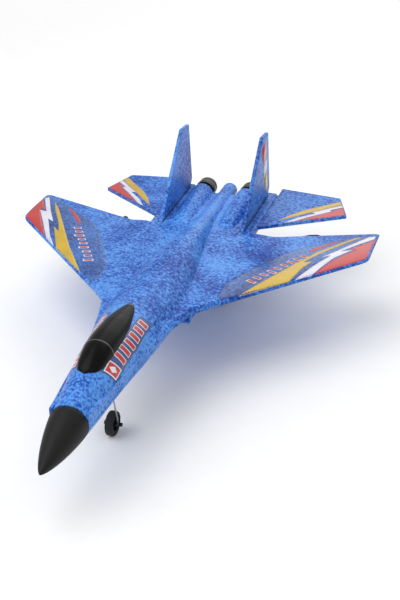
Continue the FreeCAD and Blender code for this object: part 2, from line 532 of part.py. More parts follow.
# ---------------------------------------------------------------- landing gear
def landing_leg(name, side, wheel_offset, leg_station, axle_station, ground_top):
    """One wire leg with its mount, wheel and tyre; the wire stands on the wheel's side `side`."""
    leg_offset = f"({wheel_offset} + {side} * (wheel_boss_length / 2 + leg_gap + wire_radius))"
    mount_at = (leg_offset, f"{leg_station} + 2", f"{ground_top} + mount_depth / 2")
    mount = block(f"{name}_mount_block", ("mount_width", "mount_length", "mount_depth"), mount_at)
    lower_cuts.append(block(f"{name}_mount_pocket", ("mount_width", "mount_length", "mount_depth"), mount_at))
    x, top = value(leg_offset), value(ground_top) + size("mount_depth") - 1.0
    wheel_x, axle_z = value(wheel_offset), -size("axle_drop")
    leg_y, axle_y = value(leg_station), value(axle_station)
    end_x = wheel_x - side * (size("wheel_boss_length") / 2 + size("leg_gap") + size("cap_length"))
    points = [(x, leg_y, top), (x, axle_y, axle_z), (end_x, axle_y, axle_z)]
    # the bend ends where the wheel's boss begins
    bend = size("wire_radius") + size("leg_gap")
    wire = made(f"{name}_wire", tube_along(points, size("wire_radius"), bend))
    hole = made(f"{name}_wire_hole", tube_along(points, size("wire_radius"), bend), final=False)
    cut(f"{name}_mount", mount, [hole])
    lower_cuts.append(hole)
    # wheel: rim, boss and five spokes, with a tyre round the rim
    axle = (wheel_offset, axle_station, "-axle_drop")
    rim = rod(f"{name}_rim_disc", "rim_radius", "rim_width", (f"{axle[0]} - rim_width / 2", axle[1], axle[2]), "X")
    opening = rod(f"{name}_rim_opening", "rim_radius - rim_wall", "rim_width * 2",
                  (f"{axle[0]} - rim_width", axle[1], axle[2]), "X")
    ring_only = cut(f"{name}_rim_ring", rim, [opening], final=False)
    boss = rod(f"{name}_wheel_boss", "wheel_boss_radius", "wheel_boss_length",
               (f"{axle[0]} - wheel_boss_length / 2", axle[1], axle[2]), "X")
    spokes = []
    for turn in range(5):
        angle = math.radians(90 + 72 * turn)
        along, across = f"{math.cos(angle):.5f}", f"{math.sin(angle):.5f}"
        spoke = doc.addObject("Part::Box", f"{name}_spoke_{turn + 1}")
        for prop, text in (("Length", "rim_width * 0.6"), ("Width", "rim_radius - rim_wall - wheel_boss_radius + 0.8"),
                           ("Height", "spoke_width")):
            spoke.setExpression(prop, bind(text))
        place(spoke, (f"{axle[0]} - rim_width * 0.3",
                      f"{axle[1]} + {along} * (wheel_boss_radius - 0.4) + {across} * spoke_width / 2",
                      f"{axle[2]} + {across} * (wheel_boss_radius - 0.4) - {along} * spoke_width / 2"),
              Rotation(Vector(1, 0, 0), 90 + 72 * turn), final=False)
        spokes.append(spoke)
    axle_hole = rod(f"{name}_wheel_bore", "wire_radius + axle_clearance", "wheel_boss_length * 2",
                    (f"{axle[0]} - wheel_boss_length", axle[1], axle[2]), "X")
    cut(f"{name}_wheel", fuse(f"{name}_wheel_solid", [ring_only, boss] + spokes, final=False), [axle_hole])
    half, shoulder = "tyre_width / 2", "(tyre_radius - rim_radius) * 0.5"
    tyre_points = [(f"-{half}", "rim_radius"), (half, "rim_radius"), (half, f"rim_radius + {shoulder}"),
                   (f"{half} * 0.75", f"tyre_radius - {shoulder} * 0.3"), (f"{half} * 0.4", "tyre_radius"),
                   (f"-{half} * 0.4", "tyre_radius"), (f"-{half} * 0.75", f"tyre_radius - {shoulder} * 0.3"),
                   (f"-{half}", f"rim_radius + {shoulder}")]
    turned(f"{name}_tyre", tyre_points, axle, Rotation(Vector(0, 0, 1), 90))
    end_cap = rod(f"{name}_end_cap_disc", "cap_radius", "cap_length",
                  (f"{wheel_offset} - {side} * (wheel_boss_length / 2 + leg_gap + cap_length / 2) - cap_length / 2",
                   axle[1], axle[2]), "X")
    bend_cap = rod(f"{name}_bend_cap", "cap_radius", "cap_length",
                   (f"{leg_offset} + {side} * (wire_radius + cap_length / 2) - cap_length / 2", axle[1], axle[2]), "X")
    return wire, end_cap, bend_cap, hole


legs = [
    ("nose", 1, "0", "nose_leg_station", "nose_axle_station", "-belly_depth"),
    ("port_main", 1, "main_wheel_offset", "main_leg_station", "main_axle_station", "-18.6"),
    ("starboard_main", -1, "-main_wheel_offset", "main_leg_station", "main_axle_station", "-18.6"),
]
for leg in legs:
    wire, end_cap, bend_cap, hole = landing_leg(*leg)
    cut(f"{leg[0]}_axle_caps", fuse(f"{leg[0]}_caps_solid", [end_cap, bend_cap], final=False), [hole])

# ---------------------------------------------------------------- battery bay with its hatch
bay_inner = ("battery_width + 2 * battery_clearance", "battery_length + 2 * battery_clearance",
             "battery_height + pad_thickness + battery_clearance")
bay_outer = tuple(f"({text} + 2 * bay_wall)" for text in bay_inner[:2]) + (f"({bay_inner[2]} + bay_wall)",)
bay_middle = f"(bay_station + {bay_outer[1]} / 2)"
bay_top = f"(-belly_depth + {bay_outer[2]})"
tub = block("bay_tub", bay_outer, ("0", bay_middle, f"-belly_depth + {bay_outer[2]} / 2"))
flange = block("bay_flange_plate", (f"{bay_outer[0]} + 2 * bay_flange", f"{bay_outer[1]} + 2 * bay_flange",
                                    "flange_thickness"), ("0", bay_middle, "-belly_depth - flange_thickness / 2"))
bay_room = block("bay_room", (bay_inner[0], bay_inner[1], f"{bay_inner[2]} + flange_thickness * 2"),
                 ("0", bay_middle, f"-belly_depth - flange_thickness + ({bay_inner[2]} - flange_thickness) / 2 + 0.5"))
bay_pocket = block("bay_pocket", bay_outer, ("0", bay_middle, f"-belly_depth + {bay_outer[2]} / 2"))
upper_cuts.append(bay_pocket)
lower_cuts.append(bay_pocket)
flange_pocket = block("flange_pocket", (f"{bay_outer[0]} + 2 * bay_flange", f"{bay_outer[1]} + 2 * bay_flange", "2"),
                      ("0", bay_middle, "-belly_depth - 1"))
lower_cuts.append(flange_pocket)

# the hatch swings on a pin along its starboard edge, below the flange
hatch_top = "(-belly_depth - flange_thickness - hatch_clearance)"
hinge_height = f"({hatch_top} - hatch_thickness / 2)"
hinge_offset = f"-({bay_outer[0]} / 2 + bay_flange + knuckle_radius + 0.4)"
ear_middle = {"front": f"({bay_middle} - hinge_reach)", "rear": f"({bay_middle} + hinge_reach)"}
pin_length = "2 * hinge_reach + knuckle_length + 2"
ear_height = f"(-belly_depth - {hinge_height} + knuckle_radius)"
ears = []
for end, station in ear_middle.items():
    ears.append(block(f"{end}_ear_block", ("knuckle_radius + leaf_reach", "knuckle_length", ear_height),
                      (f"{hinge_offset} - (knuckle_radius - leaf_reach) / 2", station,
                       f"-belly_depth - {ear_height} / 2")))
pin_bore = rod("ear_bore", "hinge_pin_radius", f"{pin_length} + 4",
               (hinge_offset, f"{bay_middle} - ({pin_length}) / 2 - 2", hinge_height), "Y")
latch_slot = block("latch_slot", ("1.6", "latch_width + 1", "flange_thickness * 4"),
                   (f"({bay_outer[0]} / 2 + bay_flange - 1.6)", bay_middle, "-belly_depth - flange_thickness / 2"))
lower_cuts.append(block("latch_room", ("3.2", "latch_width + 1", "2.4"),
                        (f"({bay_outer[0]} / 2 + bay_flange - 1.6)", bay_middle, "-belly_depth + 1.2")))
bay_lead_hole = rod("bay_lead_hole", "lead_radius", "10",
                    ("3", f"{bay_middle} + battery_length / 2", LEAD_HEIGHT), "Y")
cut("battery_bay", fuse("bay_solid", [tub, flange] + ears, final=False),
    [bay_room, pin_bore, latch_slot, bay_lead_hole])
rod("hatch_hinge_pin", "hinge_pin_radius", pin_length,
    (hinge_offset, f"{bay_middle} - ({pin_length}) / 2", hinge_height), "Y", final=True)

leaf_length = "(2 * hinge_reach - knuckle_length - 2 * hatch_clearance)"
knuckle = rod("hatch_knuckle", "knuckle_radius", leaf_length,
              (hinge_offset, f"{bay_middle} - {leaf_length} / 2", hinge_height), "Y")
panel_edge = f"({bay_outer[0]} / 2 + bay_flange)"
panel = block("hatch_panel", (f"{panel_edge} * 2 - hatch_side_gap", f"{bay_outer[1]} + 2 * bay_flange - 1",
                              "hatch_thickness"), ("hatch_side_gap / 2", bay_middle, hinge_height))
leaf = block("hatch_leaf", ("knuckle_radius + leaf_reach", leaf_length, "hatch_thickness"),
             (f"{hinge_offset} + (knuckle_radius + leaf_reach) / 2", bay_middle, hinge_height))
tongue = block("hatch_tongue", ("0.9", "latch_width", "flange_thickness + hatch_clearance + 1.5"),
               (f"({bay_outer[0]} / 2 + bay_flange - 1.6)", bay_middle,
                f"{hatch_top} + (flange_thickness + hatch_clearance + 1.5) / 2 - 0.1"))
knuckle_bore = rod("knuckle_bore", "hinge_pin_radius + hinge_clearance", pin_length,
                   (hinge_offset, f"{bay_middle} - ({pin_length}) / 2", hinge_height), "Y")
cut("battery_hatch", fuse("hatch_solid", [knuckle, panel, leaf, tongue], final=False), [knuckle_bore])
block("battery", ("battery_width", "battery_length", "battery_height"),
      ("0", bay_middle, f"{bay_top} - bay_wall - pad_thickness - battery_height / 2"), final=True)
block("battery_pad", ("battery_width - 4", "battery_length - 8", "pad_thickness"),
      ("0", bay_middle, f"{bay_top} - bay_wall - pad_thickness / 2"), final=True)

# ---------------------------------------------------------------- control deck: board, switch, lamp, socket
deck_middle = "(deck_station + deck_length / 2)"
deck_top = "(deck_height + deck_thickness)"
deck_blank = block("deck_blank", ("deck_width", "deck_length", "deck_thickness"),
                   ("0", deck_middle, "deck_height + deck_thickness / 2"))
room_depth = "(board_standoff + board_thickness + 2)"
room = block("control_room", ("deck_width - 3", "deck_length - 3", room_depth),
             ("0", deck_middle, f"{deck_top} + {room_depth} / 2"))
recess = block("deck_recess", ("deck_width", "deck_length", "belly_depth + deck_height + deck_thickness + 2"),
               ("0", deck_middle, "(deck_height + deck_thickness - belly_depth - 2) / 2"))
upper_cuts.append(room)
lower_cuts += [room, recess]
switch_at = ("-4.5", f"{deck_middle} - 4")
lamp_at = ("5", f"{deck_middle} - 6")
socket_at = ("0", f"{deck_middle} + 7")
slider_slot = block("slider_slot", ("slider_width + 2 * slider_clearance",
                                    "slider_length + slider_travel + 2 * slider_clearance", "deck_thickness * 3"),
                    (switch_at[0], switch_at[1], "deck_height + deck_thickness / 2"))
lamp_hole = rod("lamp_hole", "lamp_radius", "deck_thickness * 3", (*lamp_at, "deck_height - deck_thickness"), "Z")
socket_hole = block("socket_hole", ("socket_length", "socket_width", "deck_thickness * 3"),
                    (*socket_at, "deck_height + deck_thickness / 2"))
screw_spots = [("-deck_width / 2 + 2.6", f"{deck_middle} + 10"), ("deck_width / 2 - 2.6", f"{deck_middle} + 10"),
               ("-deck_width / 2 + 2.6", f"{deck_middle} - 10"), ("deck_width / 2 - 2.6", f"{deck_middle} - 10")]
screw_holes = [rod(f"screw_hole_{index}", "screw_radius", "deck_thickness * 3",
                   (*spot, "deck_height - deck_thickness"), "Z") for index, spot in enumerate(screw_spots)]
cut("control_deck", deck_blank, [slider_slot, lamp_hole, socket_hole] + screw_holes)

# the switch is an open-bottomed box on the deck's inner face, with the slider's foot inside it
switch_case = block("switch_case", ("switch_width", "switch_length", "switch_height"),
                    (*switch_at, f"{deck_top} + switch_height / 2"))
switch_room = block("switch_room", ("switch_width - 1", "switch_length - 1.4", "switch_height - 0.5"),
                    (*switch_at, f"{deck_top} + (switch_height - 0.5) / 2"))
cut("power_switch", switch_case, [switch_room])
slider_rest = (switch_at[0], f"{switch_at[1]} - slider_travel / 2")
slider_foot = block("slider_foot", ("switch_width - 1 - 2 * slider_clearance", "slider_length", "1"),
                    (*slider_rest, f"{deck_top} + slider_clearance / 2 + 0.5"))
slider_stem = block("slider_stem", ("slider_width", "slider_length", "deck_thickness + slider_height"),
                    (*slider_rest, f"{deck_top} + 0.6 - (deck_thickness + slider_height) / 2"))
fuse("switch_slider", [slider_foot, slider_stem])

lamp_dome = doc.addObject("Part::Sphere", "lamp_dome")
lamp_dome.setExpression("Radius", bind("lamp_radius"))
place(lamp_dome, (*lamp_at, "deck_height - 0.4"), final=False)
fuse("status_lamp", [rod("lamp_body", "lamp_radius", "deck_thickness + 2.4", (*lamp_at, "deck_height - 0.4"), "Z"),
                     lamp_dome])
socket_body = block("socket_body", ("socket_length", "socket_width", "socket_height"),
                    (*socket_at, "deck_height + socket_height / 2"))
socket_well = block("socket_well", ("socket_length - 1.6", "socket_width - 1.6", "socket_height * 2 - 2.4"),
                    (*socket_at, "deck_height"))
pins = [block(f"socket_pin_{index}", ("0.6", "0.6", "socket_height - 2.2"),
              (f"{index - 1} * 1.4", socket_at[1], "deck_height + 1 + (socket_height - 2.2) / 2")) for index in (0, 1, 2)]
cut("charging_socket", socket_body, [socket_well])
fuse("socket_pins", pins)
board_height = BOARD_HEIGHT
board_blank = block("board_blank", ("board_width", "board_length", "board_thickness"),
                    ("0", deck_middle, f"{board_height} + board_thickness / 2"))
chips = [block("radio_chip", ("5", "5", "1"), ("-2", f"{deck_middle} - 3", f"{board_height} + board_thickness + 0.5")),
         block("driver_chip", ("4", "3", "1"), ("3", f"{deck_middle} + 4", f"{board_height} + board_thickness + 0.5")),
         block("crystal", ("2", "3.2", "0.8"), ("3.4", f"{deck_middle} - 2", f"{board_height} + board_thickness + 0.4"))]
fuse("receiver_board", [board_blank] + chips)
posts = [rod(f"board_post_{index}", "1", "board_standoff", (f"{side} * (board_width / 2 - 1.5)",
                                                           f"{deck_middle} + {along}", deck_top), "Z")
         for index, (side, along) in enumerate(((-1, "2"), (1, "0")))]
fuse("board_posts", posts)
heads = []
for index, spot in enumerate(screw_spots):
    shank = rod(f"deck_screw_shank_{index}", "screw_radius", "screw_length", (*spot, "deck_height"), "Z")
    head = rod(f"deck_screw_head_{index}", "screw_head_radius", "screw_head_height",
               (*spot, "deck_height - screw_head_height"), "Z")
    slot = block(f"deck_screw_slot_{index}", ("screw_head_radius * 3", "0.4", "0.8"),
                 (*spot, "deck_height - screw_head_height"))
    heads.append(cut(f"deck_screw_{index}", fuse(f"deck_screw_solid_{index}", [shank, head], final=False), [slot],
                     final=False))
    lower_cuts.append(rod(f"screw_pilot_{index}", "screw_radius", "screw_length + 0.2", (*spot, "deck_height"), "Z"))
fuse("deck_screws", heads)

# ---------------------------------------------------------------- leads let into the foam
def lead(name, points, bend):
    """A round two-core lead through the points, and the equal channel it fills."""
    shape = tube_along([[value(text) for text in point] for point in points], size("lead_radius"), bend)
    made(name, shape)
    return made(f"{name}_channel", shape, final=False)


battery_end = f"({bay_middle} + battery_length / 2)"
plug_front = "(deck_station + 3.2)"
plug_height = LEAD_HEIGHT
block("battery_plug", ("5", "5", "plug_depth"), ("3", f"{plug_front} + 2.5", plug_height), final=True)
battery_lead = rod("battery_lead", "lead_radius", f"{plug_front} - {battery_end}", ("3", battery_end, plug_height),
                   "Y", final=True)
battery_channel = rod("battery_channel", "lead_radius", f"{plug_front} - {battery_end}",
                      ("3", battery_end, plug_height), "Y")
lower_cuts.append(battery_channel)
for name, side in SIDES:
    route = [(f"{side} * motor_offset", "motor_station", "motor_height"),
             (f"{side} * motor_offset", "motor_station - 5", "motor_height"),
             (f"{side} * (motor_offset - 5)", "motor_station - 12",
              f"{PLATE_BOTTOM} + (motor_offset - 5 - wing_root_offset) * {wing_slope} + lead_radius / 4"),
             (f"{side} * (wing_root_offset + 2)", "motor_station - 40", f"{PLATE_BOTTOM} + lead_radius / 4"),
             (f"{side} * 14", "deck_station + deck_length + 16", "-9"),
             (f"{side} * 5", "deck_station + deck_length - 1.5", "deck_height + 9")]
    channel = lead(f"{name}_motor_lead", route, 3.0)
    upper_cuts.append(channel)
    lower_cuts.append(channel)

# ---------------------------------------------------------------- the two foam mouldings
cut("upper_foam", upper_blank, upper_cuts)
cut("lower_foam", lower_blank, lower_cuts)

doc.recompute()
for item in doc.Objects:
    faults = [state for state in item.State if state in ("Invalid", "Error")]
    if faults:
        raise RuntimeError(f"{item.Label} failed: {item.State}")
for piece in finished:
    if piece.Shape.isNull() or not piece.Shape.isValid():
        raise RuntimeError(f"{piece.Label} has no valid shape")
for piece in finished:
    piece.Shape.exportStep(f"parts/{piece.Label}.step")
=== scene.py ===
"""Looks of the twin-motor foam jet: foam mouldings, printed film, plastic, rubber and wire."""

import logging
import math
from dataclasses import dataclass, field
from enum import Enum
from typing import Callable, Sequence

import bmesh
import bpy
import numpy as np
from mathutils import Matrix, Vector
from mathutils.geometry import delaunay_2d_cdt


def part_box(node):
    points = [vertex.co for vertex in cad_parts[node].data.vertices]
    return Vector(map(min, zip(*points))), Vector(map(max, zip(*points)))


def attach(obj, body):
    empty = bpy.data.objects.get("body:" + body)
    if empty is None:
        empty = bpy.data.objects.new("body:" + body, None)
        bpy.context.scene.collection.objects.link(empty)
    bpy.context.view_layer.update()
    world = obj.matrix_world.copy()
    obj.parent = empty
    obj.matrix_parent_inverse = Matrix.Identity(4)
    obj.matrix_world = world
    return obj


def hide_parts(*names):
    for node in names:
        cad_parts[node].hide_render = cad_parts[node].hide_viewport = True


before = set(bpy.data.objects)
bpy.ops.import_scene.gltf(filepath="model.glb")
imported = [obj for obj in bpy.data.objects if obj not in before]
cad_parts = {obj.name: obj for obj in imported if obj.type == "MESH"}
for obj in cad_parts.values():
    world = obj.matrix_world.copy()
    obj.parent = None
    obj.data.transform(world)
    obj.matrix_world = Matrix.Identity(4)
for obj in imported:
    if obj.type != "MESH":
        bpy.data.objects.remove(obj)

LOG = logging.getLogger("foam_jet")
MM = 0.001
SIDES = {"port": 1, "starboard": -1}
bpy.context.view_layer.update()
AIRFRAME = "airframe"

Array = np.ndarray
Outline = Sequence[tuple[float, float]]
Tree = bpy.types.NodeTree
Socket = bpy.types.NodeSocket


# ------------------------------------------------------------------ frame of the layout
@dataclass(frozen=True)
class Layout:
    """Places in millimetres: x to port, station aft of the nose tip, height above the wing plane.

    The nose tip and the wing plane are read from the frame, so every piece follows the CAD.
    """

    nose_y: float
    plane_z: float

    @classmethod
    def from_frame(cls) -> "Layout":
        """Read the nose tip from the nose cone and the wing plane from the fin's foot."""
        nose_low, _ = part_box("nose_cone")
        fin_low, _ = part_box("port_fin")
        fin_foot = 0.2
        return cls(nose_y=nose_low[1] - 0.00043, plane_z=fin_low[2] - fin_foot * MM)

    def world(self, points: Array) -> Array:
        """Turn (x, station, height) rows in millimetres into metres in the row frame.

        Args:
            points: array whose last axis holds x, station and height.

        Returns:
            The same array in metres, in the row frame.
        """
        shift = np.array([0.0, self.nose_y, self.plane_z])
        return np.asarray(points, float) * MM + shift


LAYOUT = Layout.from_frame()


def smooth_line(knots: Sequence[float], values: Sequence[float]) -> Callable[[Array], Array]:
    """A curve through the knots that never overshoots (monotone cubic pieces).

    Args:
        knots: rising places along the line.
        values: the value at each knot.

    Returns:
        A function that gives the value at any place, held flat past both ends.
    """
    places, heights = np.asarray(knots, float), np.asarray(values, float)
    steps = np.diff(places)
    slopes = np.diff(heights) / steps
    before, after = slopes[:-1], slopes[1:]
    same_way = before * after > 0
    inner = np.where(same_way, 2 * before * after / np.where(same_way, before + after, 1), 0.0)
    tangents = np.concatenate([slopes[:1], inner, slopes[-1:]])

    def curve(where: Array) -> Array:
        """The line's value at each place."""
        where = np.clip(where, places[0], places[-1])
        index = np.clip(np.searchsorted(places, where, side="right") - 1, 0, len(steps) - 1)
        width = steps[index]
        t = (where - places[index]) / width
        return ((1 + 2 * t) * (1 - t) ** 2 * heights[index] + t * (1 - t) ** 2 * width * tangents[index]
                + t * t * (3 - 2 * t) * heights[index + 1] + t * t * (t - 1) * width * tangents[index + 1])

    return curve


def ease(low: float, high: float, where: Array) -> Array:
    """Rise smoothly from 0 at low to 1 at high."""
    t = np.clip((np.asarray(where, float) - low) / (high - low), 0.0, 1.0)
    return t * t * (3 - 2 * t)


def soft_max(one: Array, other: Array, width: Array) -> Array:
    """The larger of two heights, with a fillet of about the given width where they meet."""
    width = np.maximum(width, 1e-6)
    near = np.maximum(width - np.abs(one - other), 0.0) / width
    return np.maximum(one, other) + near * near * width / 4


def rounded(distance: Array, radius: Array) -> Array:
    """Quarter-circle rise from 0 at an edge to 1 a radius inside it."""
    return np.sqrt(np.clip(1 - np.clip(1 - distance / radius, 0.0, 1.0) ** 2, 0.0, 1.0))


# ------------------------------------------------------------------ meshes
def grid_faces(rings: int, around: int, closed_rings: bool = False, closed_around: bool = True) -> Array:
    """Four-cornered faces over a grid of vertices.

    Args:
        rings: how many vertices the grid has along its first axis.
        around: how many it has along its second.
        closed_rings: whether the last ring joins the first.
        closed_around: whether each ring's last vertex joins its first.

    Returns:
        Rows of four vertex numbers.
    """
    ring = np.arange(rings if closed_rings else rings - 1)[:, None]
    column = np.arange(around if closed_around else around - 1)[None, :]
    here, ahead, after = ring * around, (ring + 1) % rings * around, (column + 1) % around
    return np.stack([here + column, here + after, ahead + after, ahead + column], axis=-1).reshape(-1, 4)


def mesh_object(name: str, grids: Sequence[Array], crease_degrees: float = 40.0) -> bpy.types.Object:
    """Make one object of closed tubes, each a grid of (ring, point around, xyz) in layout millimetres.

    Each tube's rings are closed loops; its first and last rings are capped with one face.

    Args:
        name: the piece's name.
        grids: the tubes.
        crease_degrees: edges that bend more than this stay sharp.

    Returns:
        The new object, with faces pointing outwards.
    """
    vertices, faces, first = [], [], 0
    for grid in grids:
        rings, around = grid.shape[:2]
        caps = [np.arange(around)[::-1], (rings - 1) * around + np.arange(around)]
        faces += (grid_faces(rings, around) + first).tolist() + [(cap + first).tolist() for cap in caps]
        vertices.append(LAYOUT.world(grid.reshape(-1, 3)))
        first += rings * around
    return finish_mesh(name, np.concatenate(vertices), faces, crease_degrees)


def ring_object(name: str, points: Array, crease_degrees: float) -> bpy.types.Object:
    """Make a closed ring, such as a tyre, from a grid in metres that joins up both ways."""
    faces = grid_faces(*points.shape[:2], closed_rings=True)
    return finish_mesh(name, points.reshape(-1, 3), faces.tolist(), crease_degrees)


def finish_mesh(name: str, vertices: Array, faces: list, crease_degrees: float) -> bpy.types.Object:
    """Put vertices and faces into a new object, turn the faces outwards and set its creases."""
    mesh = bpy.data.meshes.new(name)
    mesh.from_pydata(vertices.tolist(), [], faces)
    mesh.validate()
    turn_outwards(mesh)
    mesh.shade_smooth()
    mesh.set_sharp_from_angle(angle=math.radians(crease_degrees))
    obj = bpy.data.objects.new(name, mesh)
    bpy.context.scene.collection.objects.link(obj)
    return obj


def turn_outwards(mesh: bpy.types.Mesh) -> None:
    """Recalculate the mesh's normals so that every closed part faces outwards."""
    work = bmesh.new()
    work.from_mesh(mesh)
    bmesh.ops.recalc_face_normals(work, faces=work.faces)
    work.to_mesh(mesh)
    work.free()


def turned_grid(profile: Outline, around: int = 64) -> Array:
    """A grid revolved about the station axis from (station, radius) pairs."""
    rows = np.asarray(profile, float)
    angle = np.linspace(0, 2 * np.pi, around, endpoint=False)
    stations = np.repeat(rows[:, :1], around, axis=1)
    return np.stack([rows[:, 1:] * np.cos(angle), stations, rows[:, 1:] * np.sin(angle)], axis=-1)


@dataclass(frozen=True)
class Pocket:
    """A straight-sided recess in the belly that a CAD node is let into, in millimetres.

    Attributes:
        node: the node that sits in the recess.
        margin: how far the recess stands out round the node, or in from it, under a flange, if negative.
        extra_depth: how far the recess goes above the node's top.
        half_width: half its width about the centreline, where that isn't the node's own.
    """

    node: str
    margin: float
    extra_depth: float
    half_width: float | None = None

    def cut(self, piece: bpy.types.Object) -> None:
        """Cut the recess upwards out of a piece."""
        low, high = (np.array(corner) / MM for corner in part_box(self.node))
        below, hair = 10.0, 0.05
        start = low - (self.margin, self.margin, below)
        end = high + (self.margin, self.margin, self.extra_depth + hair)
        if self.half_width is not None:
            start[0], end[0] = -self.half_width, self.half_width
        corners = [[(start, end)[index >> axis & 1][axis] for axis in range(3)] for index in range(8)]
        faces = [(0, 2, 3, 1), (4, 5, 7, 6), (0, 1, 5, 4), (2, 6, 7, 3), (0, 4, 6, 2), (1, 3, 7, 5)]
        cutter = finish_mesh(f"{self.node}_cutter", np.array(corners) * MM, faces, 30.0)
        cut = piece.modifiers.new("pocket", "BOOLEAN")
        cut.operation, cut.solver, cut.object, cut.use_self = "DIFFERENCE", "EXACT", cutter, True
        graph = bpy.context.evaluated_depsgraph_get()
        carved = bpy.data.meshes.new_from_object(piece.evaluated_get(graph))
        piece.modifiers.clear()
        piece.data = carved
        bpy.data.objects.remove(cutter)


def panel(name: str, outline: Outline, thickness: float, bevel: float,
          place: Callable[[Array], Array]) -> bpy.types.Object:
    """A flat foam panel: an outline given a thickness, with rounded edges.

    Args:
        name: the piece's name.
        outline: corners in the panel's own plane, in millimetres.
        thickness: the panel's thickness in millimetres.
        bevel: radius of its edges in millimetres.
        place: turns (across, along, through) rows into layout (x, station, height) rows.

    Returns:
        The new object.
    """
    corners = np.asarray(outline, float)
    count = len(corners)
    both = [np.column_stack([corners, np.full(count, sign * thickness / 2)]) for sign in (-1, 1)]
    around = np.arange(count)
    sides = np.stack([around, (around + 1) % count, (around + 1) % count + count, around + count], axis=-1)
    faces = sides.tolist() + [around[::-1].tolist(), (around + count).tolist()]
    obj = finish_mesh(name, LAYOUT.world(place(np.concatenate(both))), faces, 30.0)
    edge = obj.modifiers.new("rounded_edges", "BEVEL")
    edge.width = bevel * MM
    edge.segments = 3
    edge.limit_method = "ANGLE"
    edge.angle_limit = math.radians(25)
    edge.harden_normals = True
    return obj


# ------------------------------------------------------------------ shape of the airframe
RING_STATIONS = (49.2, 60, 82, 106, 136, 164, 192, 225, 270, 315, 352, 404)
WATER = smooth_line(RING_STATIONS, (-7.8, -7.6, -6.6, -5.5, -5, -4, -3.5, -3, -2.5, -2, -1, -1))
CROWN = smooth_line(RING_STATIONS, (5.6, 8.4, 14.0, 18.4, 18.8, 17.4, 16.2, 16.2, 15.4, 11.4, 7.6, 5.6))
KEEL = smooth_line(RING_STATIONS, (-21.2, -20.4, -17.6, -16.4, -16, -16, -16, -14, -9.6, -7.6, -7, -7))
HULL_HALF = smooth_line(RING_STATIONS, (13.5, 14.3, 16.6, 18.8, 21.6, 23.6, 25, 24, 19, 12, 8, 6.6))
BELLY_POWER = smooth_line(RING_STATIONS, (2.0, 2.15, 2.35, 2.5, 2.7, 2.9, 3, 3, 3, 2.8, 2.4, 2.2))
SEAM = smooth_line((49.2, 106, 164, 172, 430), (-9.5, -7, -3.4, -3.2, -3.2))
PLATE_TOP = 2.4
PLATE_BOTTOM = -3.2
BODY_EDGE = 43.9
WING_FRONT, WING_ROOT_REAR = 205.8, 331.5
WING_SWEEP, WING_REAR_SWEEP = 98.5, 24.0
WING_ROOT, HALF_SPAN = 40.5, 143.5
WING_ROOT_THICKNESS, WING_TIP_THICKNESS = 5.6, 3.4
WING_TIP_RISE = 7.0
TIP_CORNER = 5.0
NACELLE_X, NACELLE_Z = 19.5, 0.9
NEVER = -30.0


def strake_edge(station: Array) -> Array:
    """Half width of the foam plate: a curve that opens from the hull, with a jog at the wing root."""
    start, start_half, opening, jog = 125, 21, 16.3, 3.2
    run = np.clip((station - start) / (WING_FRONT - start), 0, 1)
    hidden = 0.3 * np.minimum(station - start, 0)
    strake = start_half + hidden + opening * run ** 1.6 + jog * ease(201, WING_FRONT, station)
    plate = WING_ROOT + (BODY_EDGE - WING_ROOT) * ease(WING_FRONT, WING_FRONT + 4, station)
    return np.where(station > WING_FRONT, plate, strake)


def body_edge(station: Array) -> Array:
    """Half width of the upper moulding: the hull in front, the plate behind."""
    return soft_max(HULL_HALF(station), strake_edge(station), np.full_like(station, 1.2))


def plate_height(across: Array, station: Array) -> Array:
    """Top of the foam plate: it swells from the hull's side, and rolls off at its outer edge."""
    low, rise = WATER(station), ease(108, 152, station)
    top = low + (PLATE_TOP - low) * rise
    joined = ease(202, 206, station) * (1 - ease(328, 332, station))
    radius = 2.4 * rise * (1 - joined) + 0.05
    inside = np.maximum(body_edge(station) - np.abs(across), 0.0)
    return top - radius * (1 - rounded(inside, radius))


def hull_height(across: Array, station: Array) -> Array:
    """Upper half of the hull: an ellipse that stands on the waterline, and falls away outside it."""
    half, low = HULL_HALF(station), WATER(station)
    inside = 1 - (across / half) ** 2
    dome = low + (CROWN(station) - low) * np.sqrt(np.maximum(inside, 0))
    return np.where(inside > 0, dome, low - NEVER * inside)


def nacelle_height(across: Array, station: Array) -> Array:
    """Upper halves of the two engine humps: half ellipses that grow out of the plate."""
    half = 7.6 + 1.4 * ease(330, 372, station)
    rise = 9.0 * np.sqrt(np.clip((station - 326) / 74, 0, 1)) * ease(322, 352, station)
    inside = 1 - ((np.abs(across) - NACELLE_X) / half) ** 2
    return np.where(inside > 0, NACELLE_Z + rise * np.sqrt(np.maximum(inside, 0)), NEVER)


def body_top(across: Array, station: Array) -> Array:
    """Upper surface of the body: hull, plate and engine humps, with fillets that sharpen aft."""
    fillet = 5.0 - 4.2 * ease(200, 300, station)
    height = soft_max(hull_height(across, station), plate_height(across, station), fillet)
    return soft_max(height, nacelle_height(across, station), np.full_like(station, 0.5))


WING_LINE = smooth_line((0.0, 0.02, 0.06, 0.14, 0.28, 0.6, 0.85, 1.0),
                        (0.46, 0.70, 0.84, 0.95, 1.0, 0.86, 0.6, 0.36))


def wing_edges(across: Array) -> tuple[Array, Array]:
    """Front and rear station of the wing at a distance out, with rounded tip corners."""
    out = (across - WING_ROOT) / (HALF_SPAN - WING_ROOT)
    to_tip = np.clip(1 - (HALF_SPAN - across) / TIP_CORNER, 0, 1)
    corner = 0.8 * TIP_CORNER * (1 - np.sqrt(1 - to_tip ** 2))
    return WING_FRONT + WING_SWEEP * out + corner, WING_ROOT_REAR + WING_REAR_SWEEP * out - corner


